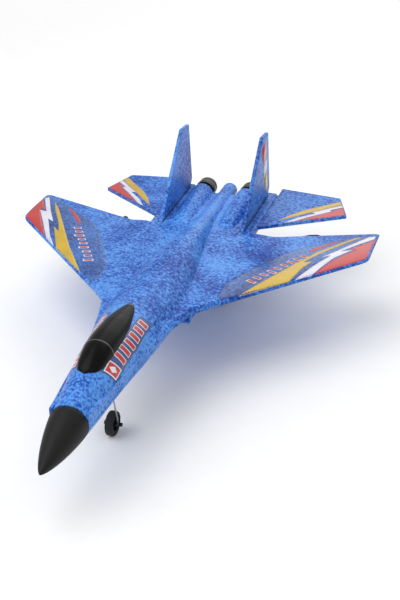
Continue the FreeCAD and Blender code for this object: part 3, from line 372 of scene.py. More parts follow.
def wing_heights(across: Array, station: Array) -> tuple[Array, Array]:
    """Top and underside of the wing: flat like the plate at the root, an aerofoil further out."""
    front, rear = wing_edges(across)
    along = np.clip((station - front) / (rear - front), 0, 1)
    out = np.clip((across - WING_ROOT) / (HALF_SPAN - WING_ROOT), 0, 1)
    flat = 0.55 + 0.45 * rounded(along * (rear - front), 2.6)
    part = flat + (WING_LINE(along) - flat) * ease(44, 64, across)
    thick = WING_ROOT_THICKNESS - (WING_ROOT_THICKNESS - WING_TIP_THICKNESS) * out
    base = PLATE_BOTTOM + WING_TIP_RISE * out
    sunk = 0.4 * (1 - ease(41.8, 43.8, across)) + 0.015
    tip_round = 1.6
    tip = np.sqrt(np.clip(1 - np.clip((across - HALF_SPAN + tip_round) / tip_round, 0, 1) ** 2, 0, 1))
    middle = base + thick * 0.45
    top = base + thick * part - sunk
    bottom = base + sunk + thick * 0.33 * (1 - rounded(along * (rear - front), 1.8))
    return middle + (top - middle) * tip, middle + (bottom - middle) * tip


def skin(across: Array, station: Array) -> Array:
    """Height of the airframe's upper skin at any place on the body or the wings."""
    out = np.abs(across)
    return np.where(out < BODY_EDGE, body_top(across, station), wing_heights(out, station)[0])


# ------------------------------------------------------------------ materials
def linear(code: str) -> tuple[float, float, float, float]:
    """Turn a six-digit sRGB colour code into linear red, green, blue and alpha."""
    parts = (int(code.lstrip("#")[place:place + 2], 16) / 255 for place in (0, 2, 4))
    lit = [part / 12.92 if part <= 0.04045 else ((part + 0.055) / 1.055) ** 2.4 for part in parts]
    return (*lit, 1.0)


def node(tree: Tree, kind: str, inputs: dict | None = None, **settings: object) -> bpy.types.Node:
    """Add one shader node, set its options and fill or link its inputs.

    Args:
        tree: the material's node tree.
        kind: the node's type name, without the ShaderNode prefix.
        inputs: values, or output sockets to link, by input name or number.
        settings: options of the node itself.

    Returns:
        The new node.
    """
    made = tree.nodes.new(f"ShaderNode{kind}")
    for option, choice in settings.items():
        setattr(made, option, choice)
    for socket, content in (inputs or {}).items():
        if isinstance(content, Socket):
            tree.links.new(content, made.inputs[socket])
        else:
            made.inputs[socket].default_value = content
    return made


def ramp(tree: Tree, factor: Socket, stops: Sequence[tuple[float, str]]) -> Socket:
    """Add a colour ramp with the given (place, colour code) stops and return its colour."""
    made = node(tree, "ValToRGB", {0: factor})
    elements = made.color_ramp.elements
    while len(elements) < len(stops):
        elements.new(0.5)
    for element, (place, code) in zip(elements, stops):
        element.position = place
        element.color = linear(code)
    return made.outputs[0]


def multiply(tree: Tree, one: Socket, other: Socket) -> Socket:
    """Multiply two colours and return the result."""
    return node(tree, "Mix", {0: 1.0, 6: one, 7: other}, data_type="RGBA", blend_type="MULTIPLY").outputs[2]


class Grain(Enum):
    """How a finish's surface is broken up."""

    MOULDED = "moulded"
    BRUSHED = "brushed"
    WOVEN = "woven"


@dataclass(frozen=True)
class Finish:
    """A plain material: colour range, gloss and a fine grain, measured in millimetres."""

    name: str
    colour: str
    shade: str
    roughness: float
    grain_mm: float = 0.8
    relief_mm: float = 0.02
    metallic: float = 0.0
    coat: float = 0.0
    see_through: float = 0.0
    specular: float = 0.5
    grain: Grain = Grain.MOULDED

    def build(self) -> bpy.types.Material:
        """Make the material: noise drives its colour, gloss and relief."""
        material, tree, shader, coords = new_material(self.name)
        stretch = (1.0, 0.08, 1.0) if self.grain is Grain.BRUSHED else (1.0, 1.0, 1.0)
        spread = node(tree, "Mapping", {0: coords, 3: stretch}).outputs[0]
        fine = 1000 / self.grain_mm
        if self.grain is Grain.WOVEN:
            source = node(tree, "TexVoronoi", {"Vector": spread, "Scale": fine}).outputs[0]
        else:
            source = node(tree, "TexNoise", {"Vector": spread, "Scale": fine, "Detail": 4.0}).outputs[0]
        cloud = node(tree, "TexNoise", {"Vector": coords, "Scale": 60.0, "Detail": 3.0}).outputs[0]
        both = node(tree, "Math", {0: source, 1: cloud}, operation="MULTIPLY").outputs[0]
        shader.inputs["Base Color"].default_value = linear(self.colour)
        tone = ramp(tree, both, ((0.15, self.shade), (0.42, self.colour)))
        tree.links.new(tone, shader.inputs["Base Color"])
        smooth, rough = self.roughness * 0.85, min(1.0, self.roughness * 1.2)
        gloss = node(tree, "MapRange", {0: cloud, 1: 0.3, 2: 0.7, 3: smooth, 4: rough})
        tree.links.new(gloss.outputs[0], shader.inputs["Roughness"])
        shader.inputs["Metallic"].default_value = self.metallic
        shader.inputs["Specular IOR Level"].default_value = self.specular
        shader.inputs["Coat Weight"].default_value = self.coat
        shader.inputs["Coat Roughness"].default_value = 0.06
        shader.inputs["Transmission Weight"].default_value = self.see_through
        bump = node(tree, "Bump", {"Height": source, "Distance": self.relief_mm * MM, "Strength": 0.6})
        tree.links.new(bump.outputs[0], shader.inputs["Normal"])
        return material


def new_material(name: str) -> tuple[bpy.types.Material, Tree, bpy.types.Node, Socket]:
    """A new node material: returns it, its tree, its main shader and object coordinates."""
    material = bpy.data.materials.new(name)
    material.use_nodes = True
    tree = material.node_tree
    shader = next(item for item in tree.nodes if item.type == "BSDF_PRINCIPLED")
    coords = node(tree, "TexCoord").outputs["Object"]
    return material, tree, shader, coords


@dataclass(frozen=True)
class BeadFoam:
    """Expanded bead foam in swirled colours, with faint bead outlines."""

    name: str
    pale: str
    middle: str
    deep: str
    swirl_mm: float = 2.3
    bead_mm: float = 2.0
    coat: float = 0.0

    def build(self) -> bpy.types.Material:
        """Make the material: warped noise for the swirls, cells for the beads."""
        material, tree, shader, coords = new_material(self.name)
        coarse, fine, reach = 1000 / (self.swirl_mm * 1.6), 1000 / self.swirl_mm, self.swirl_mm * 1.5 * MM
        warp = node(tree, "TexNoise", {"Vector": coords, "Scale": coarse, "Detail": 2.0}).outputs[1]
        moved = node(tree, "VectorMath", {0: warp, 1: (reach,) * 3}, operation="MULTIPLY").outputs[0]
        bent = node(tree, "VectorMath", {0: coords, 1: moved}, operation="ADD").outputs[0]
        detail = {"Vector": bent, "Scale": fine, "Detail": 5.0, "Roughness": 0.7}
        swirl = node(tree, "TexNoise", detail).outputs[0]
        patches = node(tree, "TexNoise", {"Vector": coords, "Scale": 22.0, "Detail": 2.0}).outputs[0]
        level = node(tree, "Math", {0: patches, 1: 0.5, 2: -0.14}, operation="MULTIPLY_ADD").outputs[0]
        total = node(tree, "Math", {0: swirl, 1: level}, operation="ADD").outputs[0]
        colour = ramp(tree, total, ((0.44, self.deep), (0.54, self.middle), (0.70, self.pale)))
        cells = node(tree, "TexVoronoi", {"Vector": coords, "Scale": 1000 / self.bead_mm, "Randomness": 0.9},
                     feature="DISTANCE_TO_EDGE").outputs[0]
        rims = node(tree, "MapRange", {0: cells, 1: 0.0, 2: 0.12, 3: 0.82, 4: 1.0}).outputs[0]
        grey = node(tree, "CombineColor", {0: rims, 1: rims, 2: rims}).outputs[0]
        tree.links.new(multiply(tree, colour, grey), shader.inputs["Base Color"])
        gloss = node(tree, "MapRange", {0: swirl, 1: 0.3, 2: 0.7, 3: 0.44, 4: 0.3}).outputs[0]
        tree.links.new(gloss, shader.inputs["Roughness"])
        shader.inputs["Specular IOR Level"].default_value = 0.24
        shader.inputs["Coat Weight"].default_value = self.coat
        shader.inputs["Coat Roughness"].default_value = 0.12
        beads = node(tree, "Bump", {"Height": rims, "Distance": 0.06 * MM, "Strength": 0.5}).outputs[0]
        skin_bump = {"Height": swirl, "Distance": 0.16 * MM, "Strength": 0.35, "Normal": beads}
        tree.links.new(node(tree, "Bump", skin_bump).outputs[0], shader.inputs["Normal"])
        return material


FINISHES = {
    # Expanded beads moulded in mixed blues: swirls a few millimetres wide, fine bead outlines, satin skin.
    "foam": BeadFoam("mottled_bead_foam", "#5a9cec", "#1350b4", "#06287c"),
    # Clear film over the foam: the same swirls, darker, under a gloss coat.
    "blue_film": BeadFoam("blue_tinted_film", "#3f78c4", "#174694", "#0b2c6a", coat=0.5),
    # Moulded plastics: one even colour each, with a soft sheen and a grain that is only just there.
    "black_plastic": Finish("moulded_black_abs", "#111112", "#0a0a0b", 0.5, specular=0.25),
    "gloss_black": Finish("thermoformed_satin_black", "#0b0b0c", "#060607", 0.3, relief_mm=0.004, coat=0.02,
                          specular=0.1),
    "nozzle_plastic": Finish("olive_black_moulding", "#34352c", "#1c1d17", 0.4),
    "white_plastic": Finish("white_nylon", "#e9e7e1", "#cfccc4", 0.4),
    "red_lead": Finish("red_silicone_lead", "#b8241c", "#8a1812", 0.45),
    # The lamp's lens is smooth and lets light through.
    "clear_plastic": Finish("clear_lamp_plastic", "#dfe6ea", "#c2ccd2", 0.08, see_through=0.7,
                            relief_mm=0.002),
    # Shrink wrap is thin and shiny; hook-and-loop tape is a dull, deep weave.
    "battery_wrap": Finish("shrink_wrap_blue", "#274a86", "#1c3866", 0.3, coat=0.2),
    "hook_and_loop": Finish("looped_nylon", "#3a3a3d", "#1e1e20", 0.9, relief_mm=0.2, grain=Grain.WOVEN),
    # Drawn and turned metals: bright, with fine lines that run along the stock.
    "steel": Finish("drawn_steel", "#b8bac0", "#7d8087", 0.28, metallic=1.0, relief_mm=0.004,
                    grain=Grain.BRUSHED),
    "brass": Finish("turned_brass", "#c9a24a", "#94742c", 0.25, metallic=1.0, relief_mm=0.004,
                    grain=Grain.BRUSHED),
    # Solder mask: glassy green over copper that shows as a faint relief.
    "board_green": Finish("solder_mask_green", "#1f6b3c", "#124a27", 0.3, coat=0.3, relief_mm=0.03),
    # Foam rubber tyres: matt, nearly black, with a fine open grain.
    "black_rubber": Finish("black_foam_rubber", "#232325", "#111112", 0.78, grain_mm=0.6, relief_mm=0.06),
    # Printed films: flat strong inks under a thin gloss coat.
    "yellow_film": Finish("yellow_printed_film", "#d4b018", "#bf9a12", 0.3, coat=0.35, relief_mm=0.006),
    "red_film": Finish("red_printed_film", "#cc2f26", "#b2261e", 0.3, coat=0.35, relief_mm=0.006),
    "white_film": Finish("white_printed_film", "#e8e6ee", "#d0cede", 0.3, coat=0.35, relief_mm=0.006),
    "navy_film": Finish("navy_printed_film", "#39558f", "#2a4274", 0.28, coat=0.4, relief_mm=0.006),
    "silver_film": Finish("grey_painted_frame", "#3c3d40", "#2a2b2e", 0.36, coat=0.3, relief_mm=0.006),
    # Painted shade for the depth of a duct or a slot: dull and almost black.
    "shadow": Finish("shaded_duct", "#101113", "#08090a", 0.7),
}


class Palette:
    """Builds each finish once and hands it out by name."""

    def __init__(self) -> None:
        self._made: dict[str, bpy.types.Material] = {}

    def get(self, name: str) -> bpy.types.Material:
        """The material of that name, made on first use."""
        if name not in self._made:
            self._made[name] = FINISHES[name].build()
        return self._made[name]

    def dress(self, piece: bpy.types.Object, name: str, slot: str | None = None) -> None:
        """Give a piece one material."""
        piece.data.materials.clear()
        piece.data.materials.append(self.get(name))


# ------------------------------------------------------------------ sub-assemblies
@dataclass
class Assembly:
    """A group of pieces that share one palette."""

    palette: Palette
    pieces: list[bpy.types.Object] = field(default_factory=list)

    def keep(self, piece: bpy.types.Object, finish: str, slot: str | None, body: str, *nodes: str) -> None:
        """Finish a piece: its material, the body it rides on and the CAD nodes it stands for."""
        self.palette.dress(piece, finish, slot)
        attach(piece, body)
        if nodes:
            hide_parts(*nodes)
        self.pieces.append(piece)


@dataclass
class Foam(Assembly):
    """The two foam mouldings, the fins and the stabilisers."""

    across_count: int = 170
    wing_count: int = 72
    sheet: float = 3.0
    fin_out: float = 34.8
    tail_out: float = 44.0
    tail_height: float = -1.0
    tail_droop: float = math.radians(4.0)
    fin_outline: Outline = ((333.2, -0.4), (412.4, 0.3), (412.4, 2.4), (417.3, 8.0), (409.8, 60.0),
                            (391.7, 61.95), (333.2, 1.6))
    tail_outline: Outline = ((-0.6, 351.7), (0.6, 351.7), (63.2, 402.1), (51.4, 434.0), (0.1, 432.6),
                             (0.1, 417.6), (-0.6, 417.4))

    def build(self) -> None:
        """Make every foam piece."""
        wings = [self.wing_grid(hand) for hand in SIDES.values()]
        upper = [self.body_grid(), *wings, *self.boom_grids(), self.sting_grid()]
        self.keep(mesh_object("upper_moulding", upper, 38.0), "foam", "foam", AIRFRAME, "upper_foam")
        nacelles = [self.nacelle_grid(hand) for hand in SIDES.values()]
        lower = mesh_object("lower_moulding", [self.keel_grid(), *nacelles], 38.0)
        bay_wall = 3.05
        for pocket in (Pocket("battery_bay", -bay_wall, 0.0, half_width=11.05),
                       Pocket("control_deck", 0.05, 10.0)):
            pocket.cut(lower)
        self.keep(lower, "foam", "foam", AIRFRAME, "lower_foam")
        for side, hand in SIDES.items():
            self.keep(self.fin(side, hand), "foam", "foam", AIRFRAME, f"{side}_fin")
            self.keep(self.stabiliser(side, hand), "foam", "foam", AIRFRAME, f"{side}_stabiliser")

    def stations(self) -> Array:
        """Places of the body's rings: close together where the outline or the humps change fast."""
        return np.unique(np.concatenate([
            np.linspace(49.3, 50.5, 4), np.linspace(52, 200, 90), np.linspace(201, 212, 23),
            np.linspace(213.5, 320, 60), np.linspace(321, 345, 49), np.linspace(346, 403.2, 44),
            [403.7, 404.0]]))

    def body_grid(self) -> Array:
        """The upper moulding's middle: its top skin over a flat underside, chamfered at the seam."""
        stations = self.stations()[:, None]
        turn = np.linspace(0, np.pi, self.across_count)[None, :]
        edge = body_edge(stations)
        rear = np.clip((stations - 403.0) / 1.0, 0, 1)
        x_top = edge * np.cos(turn)
        seam = SEAM(stations)
        z_top = np.maximum(body_top(x_top, stations + 0 * x_top), seam + 0.5)
        z_top = z_top - 0.6 * rear * (1 - np.sqrt(1 - rear * rear * 0.99))
        lean = np.linspace(np.pi, 2 * np.pi, 40)[None, :]
        x_low = (edge - 0.4) * np.cos(lean)
        z_low = seam + 0 * x_low
        x_all = np.concatenate([x_top, -edge, x_low, edge], axis=1)
        z_all = np.concatenate([z_top, seam + 0.4, z_low, seam + 0.4], axis=1)
        return np.stack([x_all, stations + 0 * x_all, z_all], axis=-1)

    def wing_grid(self, hand: int) -> Array:
        """One wing panel: sections from inside the plate to a rounded tip."""
        root = [38.0, 41.8, 42.4, 43.0, 43.4, 43.8, 44.2, 45, 46, 47.5]
        tip = HALF_SPAN - 1.8 * np.cos(np.linspace(0, np.pi / 2, 9)[:-1])
        panel = np.linspace(49.5, 141.0, 60)
        across = np.unique(np.concatenate([root, panel, tip, [HALF_SPAN - 0.02]]))[:, None]
        spread = (1 - np.cos(np.linspace(0, np.pi, self.wing_count)))[None, :] / 2
        front, rear = wing_edges(across)
        s_top = front + (rear - front) * spread
        top, _ = wing_heights(across + 0 * s_top, s_top)
        s_low = s_top[:, ::-1]
        _, low = wing_heights(across + 0 * s_low, s_low)
        station = np.concatenate([s_top, s_low], axis=1)
        height = np.concatenate([top, low], axis=1)
        return np.stack([hand * across + 0 * station, station, height], axis=-1)

    def boom_grids(self) -> list[Array]:
        """The two tail booms behind the plate, beside the nozzles."""
        grids = []
        stations = np.array([396.0, 400, 404, 408, 412, 416, 416.9, 417.3])[:, None]
        shrink = np.array([0, 0, 0, 0, 0, 0, 0.25, 0.8])[:, None]
        corner = np.array([(30, -3.2), (43.2, -3.2), (43.9, -2.6), (43.9, -0.1), (43.5, 1.2), (42.6, 2.1),
                           (41.5, 2.4), (30.9, 2.4), (30, 1.6)])
        centre = np.array([37.0, -0.4])
        for hand in SIDES.values():
            section = centre + (corner - centre) * (1 - shrink[:, :, None] / 7)
            x = hand * section[..., 0]
            grids.append(np.stack([x, stations + 0 * x, section[..., 1] - 0.01], axis=-1))
        return grids

    def sting_grid(self) -> Array:
        """The round tail between the nozzles, with a domed end."""
        radius, dome_start, dome_length, height = 6.5, 420.4, 5.0, -1.0
        angle = np.linspace(0, np.pi / 2, 12)
        dome_radius = np.maximum(0.05, radius * np.cos(angle))
        dome = np.column_stack([dome_start + dome_length * np.sin(angle), dome_radius])
        rows = np.concatenate([[(388.0, 6.3), (400.0, radius), (414.0, radius)], dome])
        return turned_grid(rows, 48) + np.array([0.0, 0.0, height])

    def keel_grid(self) -> Array:
        """The lower moulding: a full, flat-bottomed belly that thins towards the tail."""
        stations = np.unique(np.concatenate([np.linspace(49.3, 404, 150), [49.9]]))[:, None]
        turn = np.linspace(0, 2 * np.pi, 129)[None, :-1]
        half, low, keel, seam = HULL_HALF(stations), WATER(stations), KEEL(stations), SEAM(stations)
        boxy = 2 / BELLY_POWER(stations)
        x = half * np.sign(np.cos(turn)) * np.abs(np.cos(turn)) ** boxy
        z = low - (low - keel) * np.abs(np.sin(turn)) ** boxy
        upper = np.sin(turn) >= 0
        x = np.where(upper, (half - 0.5) * np.cos(turn), x)
        z = np.where(upper, seam + 0 * x, np.minimum(z, seam - 0.4))
        return np.stack([x, stations + 0 * x, z], axis=-1)

    def nacelle_grid(self, hand: int) -> Array:
        """A lower engine duct: a boxy intake that turns round towards the nozzle, with a recessed mouth."""
        turn = np.linspace(0, 2 * np.pi, 97)[None, :-1]
        mouth, end = 214.6, 411.5
        # station, half width, height of the middle, bottom, rise over the middle, squareness
        lip = [(219.5, 7.0, -6.2, -17.0, 1.0, 7.0), (214.0, 7.8, -11.6, -18.2, 6.6, 7.0),
               (213.5, 8.4, -11.7, -18.8, 7.1, 7.0), (213.6, 9.2, -11.5, -19.6, 8.1, 7.0),
               (mouth, 9.8, -1.0, -20.0, 1.0, 7.0)]
        along = np.linspace(0, 1, 60)[1:]
        turned = ease(0.45, 0.94, along)
        duct = np.column_stack([mouth + (end - mouth) * along, 9.8 - 0.8 * turned, -1.0 + 1.9 * turned,
                                -20.0 + 11.9 * turned, np.ones_like(along), 7.0 - 5.0 * turned])
        station, half, middle, bottom, rise, power = np.concatenate([lip, duct]).T[:, :, None]
        shape = 2 / np.maximum(power, 2.0)
        x = half * np.sign(np.cos(turn)) * np.abs(np.cos(turn)) ** shape
        z = middle + np.where(np.sin(turn) < 0, bottom - middle, rise) * np.abs(np.sin(turn)) ** shape
        z = np.minimum(z, np.where(station > 404, NACELLE_Z, PLATE_BOTTOM + 1.5))
        return np.stack([hand * NACELLE_X + x, station + 0 * x, z], axis=-1)

    def fin(self, side: str, hand: int) -> bpy.types.Object:
        """An upright swept fin set into its slot."""
        def place(rows: Array) -> Array:
            """Stand the flat outline upright beside its nacelle."""
            return np.column_stack([hand * self.fin_out + rows[:, 2], rows[:, 0], rows[:, 1]])

        return panel(f"{side}_fin_panel", self.fin_outline, self.sheet, 0.55, place)

    def stabiliser(self, side: str, hand: int) -> bpy.types.Object:
        """A drooping swept tailplane set into the body's edge."""
        def place(rows: Array) -> Array:
            """Tilt the flat outline down about the body's edge."""
            out = self.tail_out + rows[:, 0] * math.cos(self.tail_droop)
            height = self.tail_height - rows[:, 0] * math.sin(self.tail_droop) + rows[:, 2]
            return np.column_stack([hand * out, rows[:, 1], height])

        return panel(f"{side}_stabiliser_panel", self.tail_outline, self.sheet, 0.7, place)


@dataclass
class Nose(Assembly):
    """The black nose cone, the cockpit canopy and the tail nozzles."""

    cone_length: float = 49.2
    cone_radius: float = 13.5
    cone_drop: float = 7.8
    cone_droop: float = math.radians(7.6)
    canopy_front: float = 76.8
    canopy_rear: float = 169.7
    canopy_half: float = 11.4
    canopy_sill: float = 12.0
    canopy_rise: float = 12.4
    canopy_base: float = 11.0

    def build(self) -> None:
        """Make the cone, the canopy with its frame, both nozzles, and a disc of painted shade deep in each.
        """
        self.keep(self.cone(), "black_plastic", "black_plastic", AIRFRAME, "nose_cone")
        self.keep(self.bubble(), "gloss_black", "gloss_black", AIRFRAME, "canopy")
        self.keep(self.band("canopy_frame_bar", 102.2, 103.4, 0.14), "silver_film", None, AIRFRAME)
        self.keep(self.band("canopy_rear_rim", 163.0, 169.3, 0.1), "silver_film", None, AIRFRAME)
        for side, hand in SIDES.items():
            self.keep(self.nozzle(side, hand), "nozzle_plastic", "nozzle_plastic", AIRFRAME, f"{side}_nozzle")
            # A dark disc of painted shade deep in the nozzle's bore.
            self.keep(self.duct_shadow(side, hand), "shadow", None, AIRFRAME)

    def cone(self) -> bpy.types.Object:
        """A drooping rounded point turned about its own axis."""
        along = np.sin(np.linspace(np.pi / 2, 0, 60))
        radius = np.maximum(self.cone_radius * np.clip(1 - along ** 1.3, 0, 1) ** 0.7, 0.05)
        point = np.column_stack([-self.cone_length * along, radius])
        rows = np.concatenate([point, [(0.3, 13.3), (2.0, 12.4)]])
        x, y, z = np.moveaxis(turned_grid(rows, 96), -1, 0)
        sine, cosine = math.sin(self.cone_droop), math.cos(self.cone_droop)
        station = y * cosine - z * sine + self.cone_length
        height = y * sine + z * cosine - self.cone_drop
        return mesh_object("nose_cone_shell", [np.stack([x, station, height], axis=-1)], 50.0)

    def bubble_rows(self, stations: Array) -> tuple[Array, Array]:
        """Half width and crown height of the canopy along its length."""
        along = (stations - self.canopy_front) / (self.canopy_rear - self.canopy_front)
        knots = (0.0, 0.05, 0.14, 0.28, 0.42, 0.6, 0.78, 0.92, 1.0)
        wide = smooth_line(knots, (0.10, 0.60, 0.84, 0.97, 1.0, 0.96, 0.80, 0.56, 0.10))(along)
        high = smooth_line(knots, (0.12, 0.34, 0.62, 0.93, 1.0, 0.93, 0.74, 0.55, 0.42))(along)
        return self.canopy_half * wide, self.canopy_sill + self.canopy_rise * high

    def bubble_grid(self, stations: Array, lift: float, floor: float) -> Array:
        """Rings of the canopy's skin over a flat floor hidden in the foam."""
        half, crown = self.bubble_rows(stations)
        turn = np.linspace(0, np.pi, 49)[None, :]
        half, crown = half[:, None] + lift, crown[:, None] + lift
        z = self.canopy_base + (crown - self.canopy_base) * np.sin(turn) ** 0.8
        low_x = np.linspace(-0.9, 0.9, 9)[None, :] * half
        x_all = np.concatenate([half * np.cos(turn), low_x], axis=1)
        z_all = np.concatenate([z, floor + 0 * low_x], axis=1)
        return np.stack([x_all, stations[:, None] + 0 * x_all, z_all], axis=-1)

    def bubble(self) -> bpy.types.Object:
        """The whole canopy, with rings that close up towards its ends."""
        front, rear = self.canopy_front + 0.05, self.canopy_rear - 0.05
        stations = front + (rear - front) * (1 - np.cos(np.linspace(0, np.pi, 90))) / 2
        return mesh_object("canopy_bubble", [self.bubble_grid(stations, 0.0, 10.0)], 55.0)

    def band(self, name: str, front: float, rear: float, lift: float) -> bpy.types.Object:
        """A painted band over the canopy between two stations."""
        stations = np.linspace(front, rear, 9)
        return mesh_object(name, [self.bubble_grid(stations, lift, 10.5)], 55.0)

    @staticmethod
    def nozzle(side: str, hand: int) -> bpy.types.Object:
        """A hollow tail nozzle with a rolled lip and a deep bore."""
        rows = [(409.0, 7.3), (418.6, 7.1), (419.9, 7.3), (420.4, 7.7), (420.1, 8.05), (419.2, 8.2),
                (416.4, 8.35), (416.0, 8.15), (415.6, 8.4), (412.2, 8.6), (411.2, 8.6), (409.0, 8.2)]
        grid = turned_grid(rows, 72) + (hand * NACELLE_X, 0.0, NACELLE_Z)
        return ring_object(f"{side}_nozzle_shell", LAYOUT.world(grid), 35.0)

    @staticmethod
    def duct_shadow(side: str, hand: int) -> bpy.types.Object:
        """A dark disc deep inside a nozzle: painted shade for the depth of its bore."""
        rows = [(409.6, 0.05), (409.6, 7.25), (412.5, 7.2), (413.0, 5.0), (412.0, 0.05)]
        grid = turned_grid(rows, 48) + (hand * NACELLE_X, 0.0, NACELLE_Z)
        return mesh_object(f"{side}_nozzle_bore_shade", [grid], 35.0)


@dataclass(frozen=True)
class Marking:
    """One film on the skin: its finish, its outline in (distance out, station) and its lift."""

    name: str
    finish: str
    outline: Outline
    lift: float = 0.07


WING_TINT = [(50, 217), (46.5, 222), (48, 244), (55, 260), (76.5, 302), (92, 319), (117, 337.5), (129.5, 346),
             (141, 350.5), (142.6, 345), (142.8, 310), (140.5, 304), (100, 264.5)]
WING_FLASHES = {
    "port": {
        "yellow": [(61.5, 227), (92.5, 257), (98, 280.5), (102.5, 291.5), (96, 289), (104.5, 306),
                   (130.5, 345), (126, 342.5), (102, 309), (92.5, 290.5)],
        "white": [(96, 260.2), (107, 270.5), (111, 283), (117, 300.5), (129, 318.5), (120, 313.5),
                  (126, 322.5), (141, 342), (141, 348.5), (136, 345.5), (116.5, 313.5), (107.5, 300),
                  (114, 305), (105, 284.5)],
        "red": [(108.5, 272), (140.5, 303.5), (142.8, 309), (142.5, 341.5), (125.5, 318.5), (131, 318),
                (118, 298.5), (112, 283)],
    },
    "starboard": {
        "yellow": [(64, 230), (96.5, 260.5), (112.5, 294.5), (105.5, 287.5), (112, 303), (123.5, 324),
                   (131.5, 342), (122, 328), (107.5, 302), (87.5, 266)],
        "white": [(100, 264), (111, 274.8), (122.5, 296), (135.5, 320), (129.5, 319), (141.5, 344),
                  (139.5, 349), (127, 322.5), (116.5, 302.5), (122.5, 306.5), (109.5, 279)],
        "red": [(112.5, 276.2), (140.5, 303.5), (142.8, 309), (142.5, 342), (131.5, 322), (136.5, 322),
                (125.5, 300)],
    },
}
WING_DART = [(95, 308.5), (99, 310.5), (112, 329), (116, 334.5), (110, 330.5), (97, 314)]
TAIL_FLASHES = {
    "yellow": [(55.5, 368), (66, 380.5), (78, 395.5), (88.5, 408), (99, 421), (96.8, 427.5), (86, 414.5),
               (73, 399.5), (63.5, 385)],
    "white": [(61.5, 367), (68, 372.2), (79, 387), (94.2, 405.2), (91.6, 406.2), (101, 416.6), (99.4, 420.4),
              (88.2, 407), (78, 395.2), (82, 395.2), (70, 381.5)],
    "red": [(68.6, 372.3), (106, 402.2), (101.3, 415.6), (92.8, 406), (95, 405.4), (80, 387.4)],
}
# Corners in (station, height).
FIN_FLASHES = {
    "red": [(389.0, 52.0), (403.0, 56.5), (405.5, 40.0), (394.0, 34.0)],
    "white": [(394.2, 33.2), (405.6, 39.2), (407.0, 29.0), (397.5, 23.5)],
    "yellow": [(397.7, 22.7), (407.1, 28.2), (409.6, 11.5), (402.5, 8.0)],
}
# Painted shade: a dark film round each fin's foot, where the slot shades the foam. Corners in (distance out,
# station).
FIN_SLOT_SHADE = [(32.3, 333.6), (37.3, 333.6), (37.3, 409), (32.3, 409)]
# Corners in (station, degrees up from the side).
NOSE_PANEL = [(90.1, 16.5), (157.6, 39.4), (154.9, 63.6), (84.2, 58.0)]


def slanted(left: float, low: float, right: float, high: float, lean: float = 0.0) -> Outline:
    """The four corners of a box whose upper edge is shifted sideways by a lean."""
    return [(left, low), (right, low), (right + lean, high), (left + lean, high)]


def inside_corners(corners: Outline, along: Array, up: Array) -> Array:
    """Places in a four-cornered patch, from 0 to 1 along it and up it."""
    weights = np.stack([(1 - along) * (1 - up), along * (1 - up), along * up, (1 - along) * up], axis=-1)
    return weights @ np.asarray(corners, float)


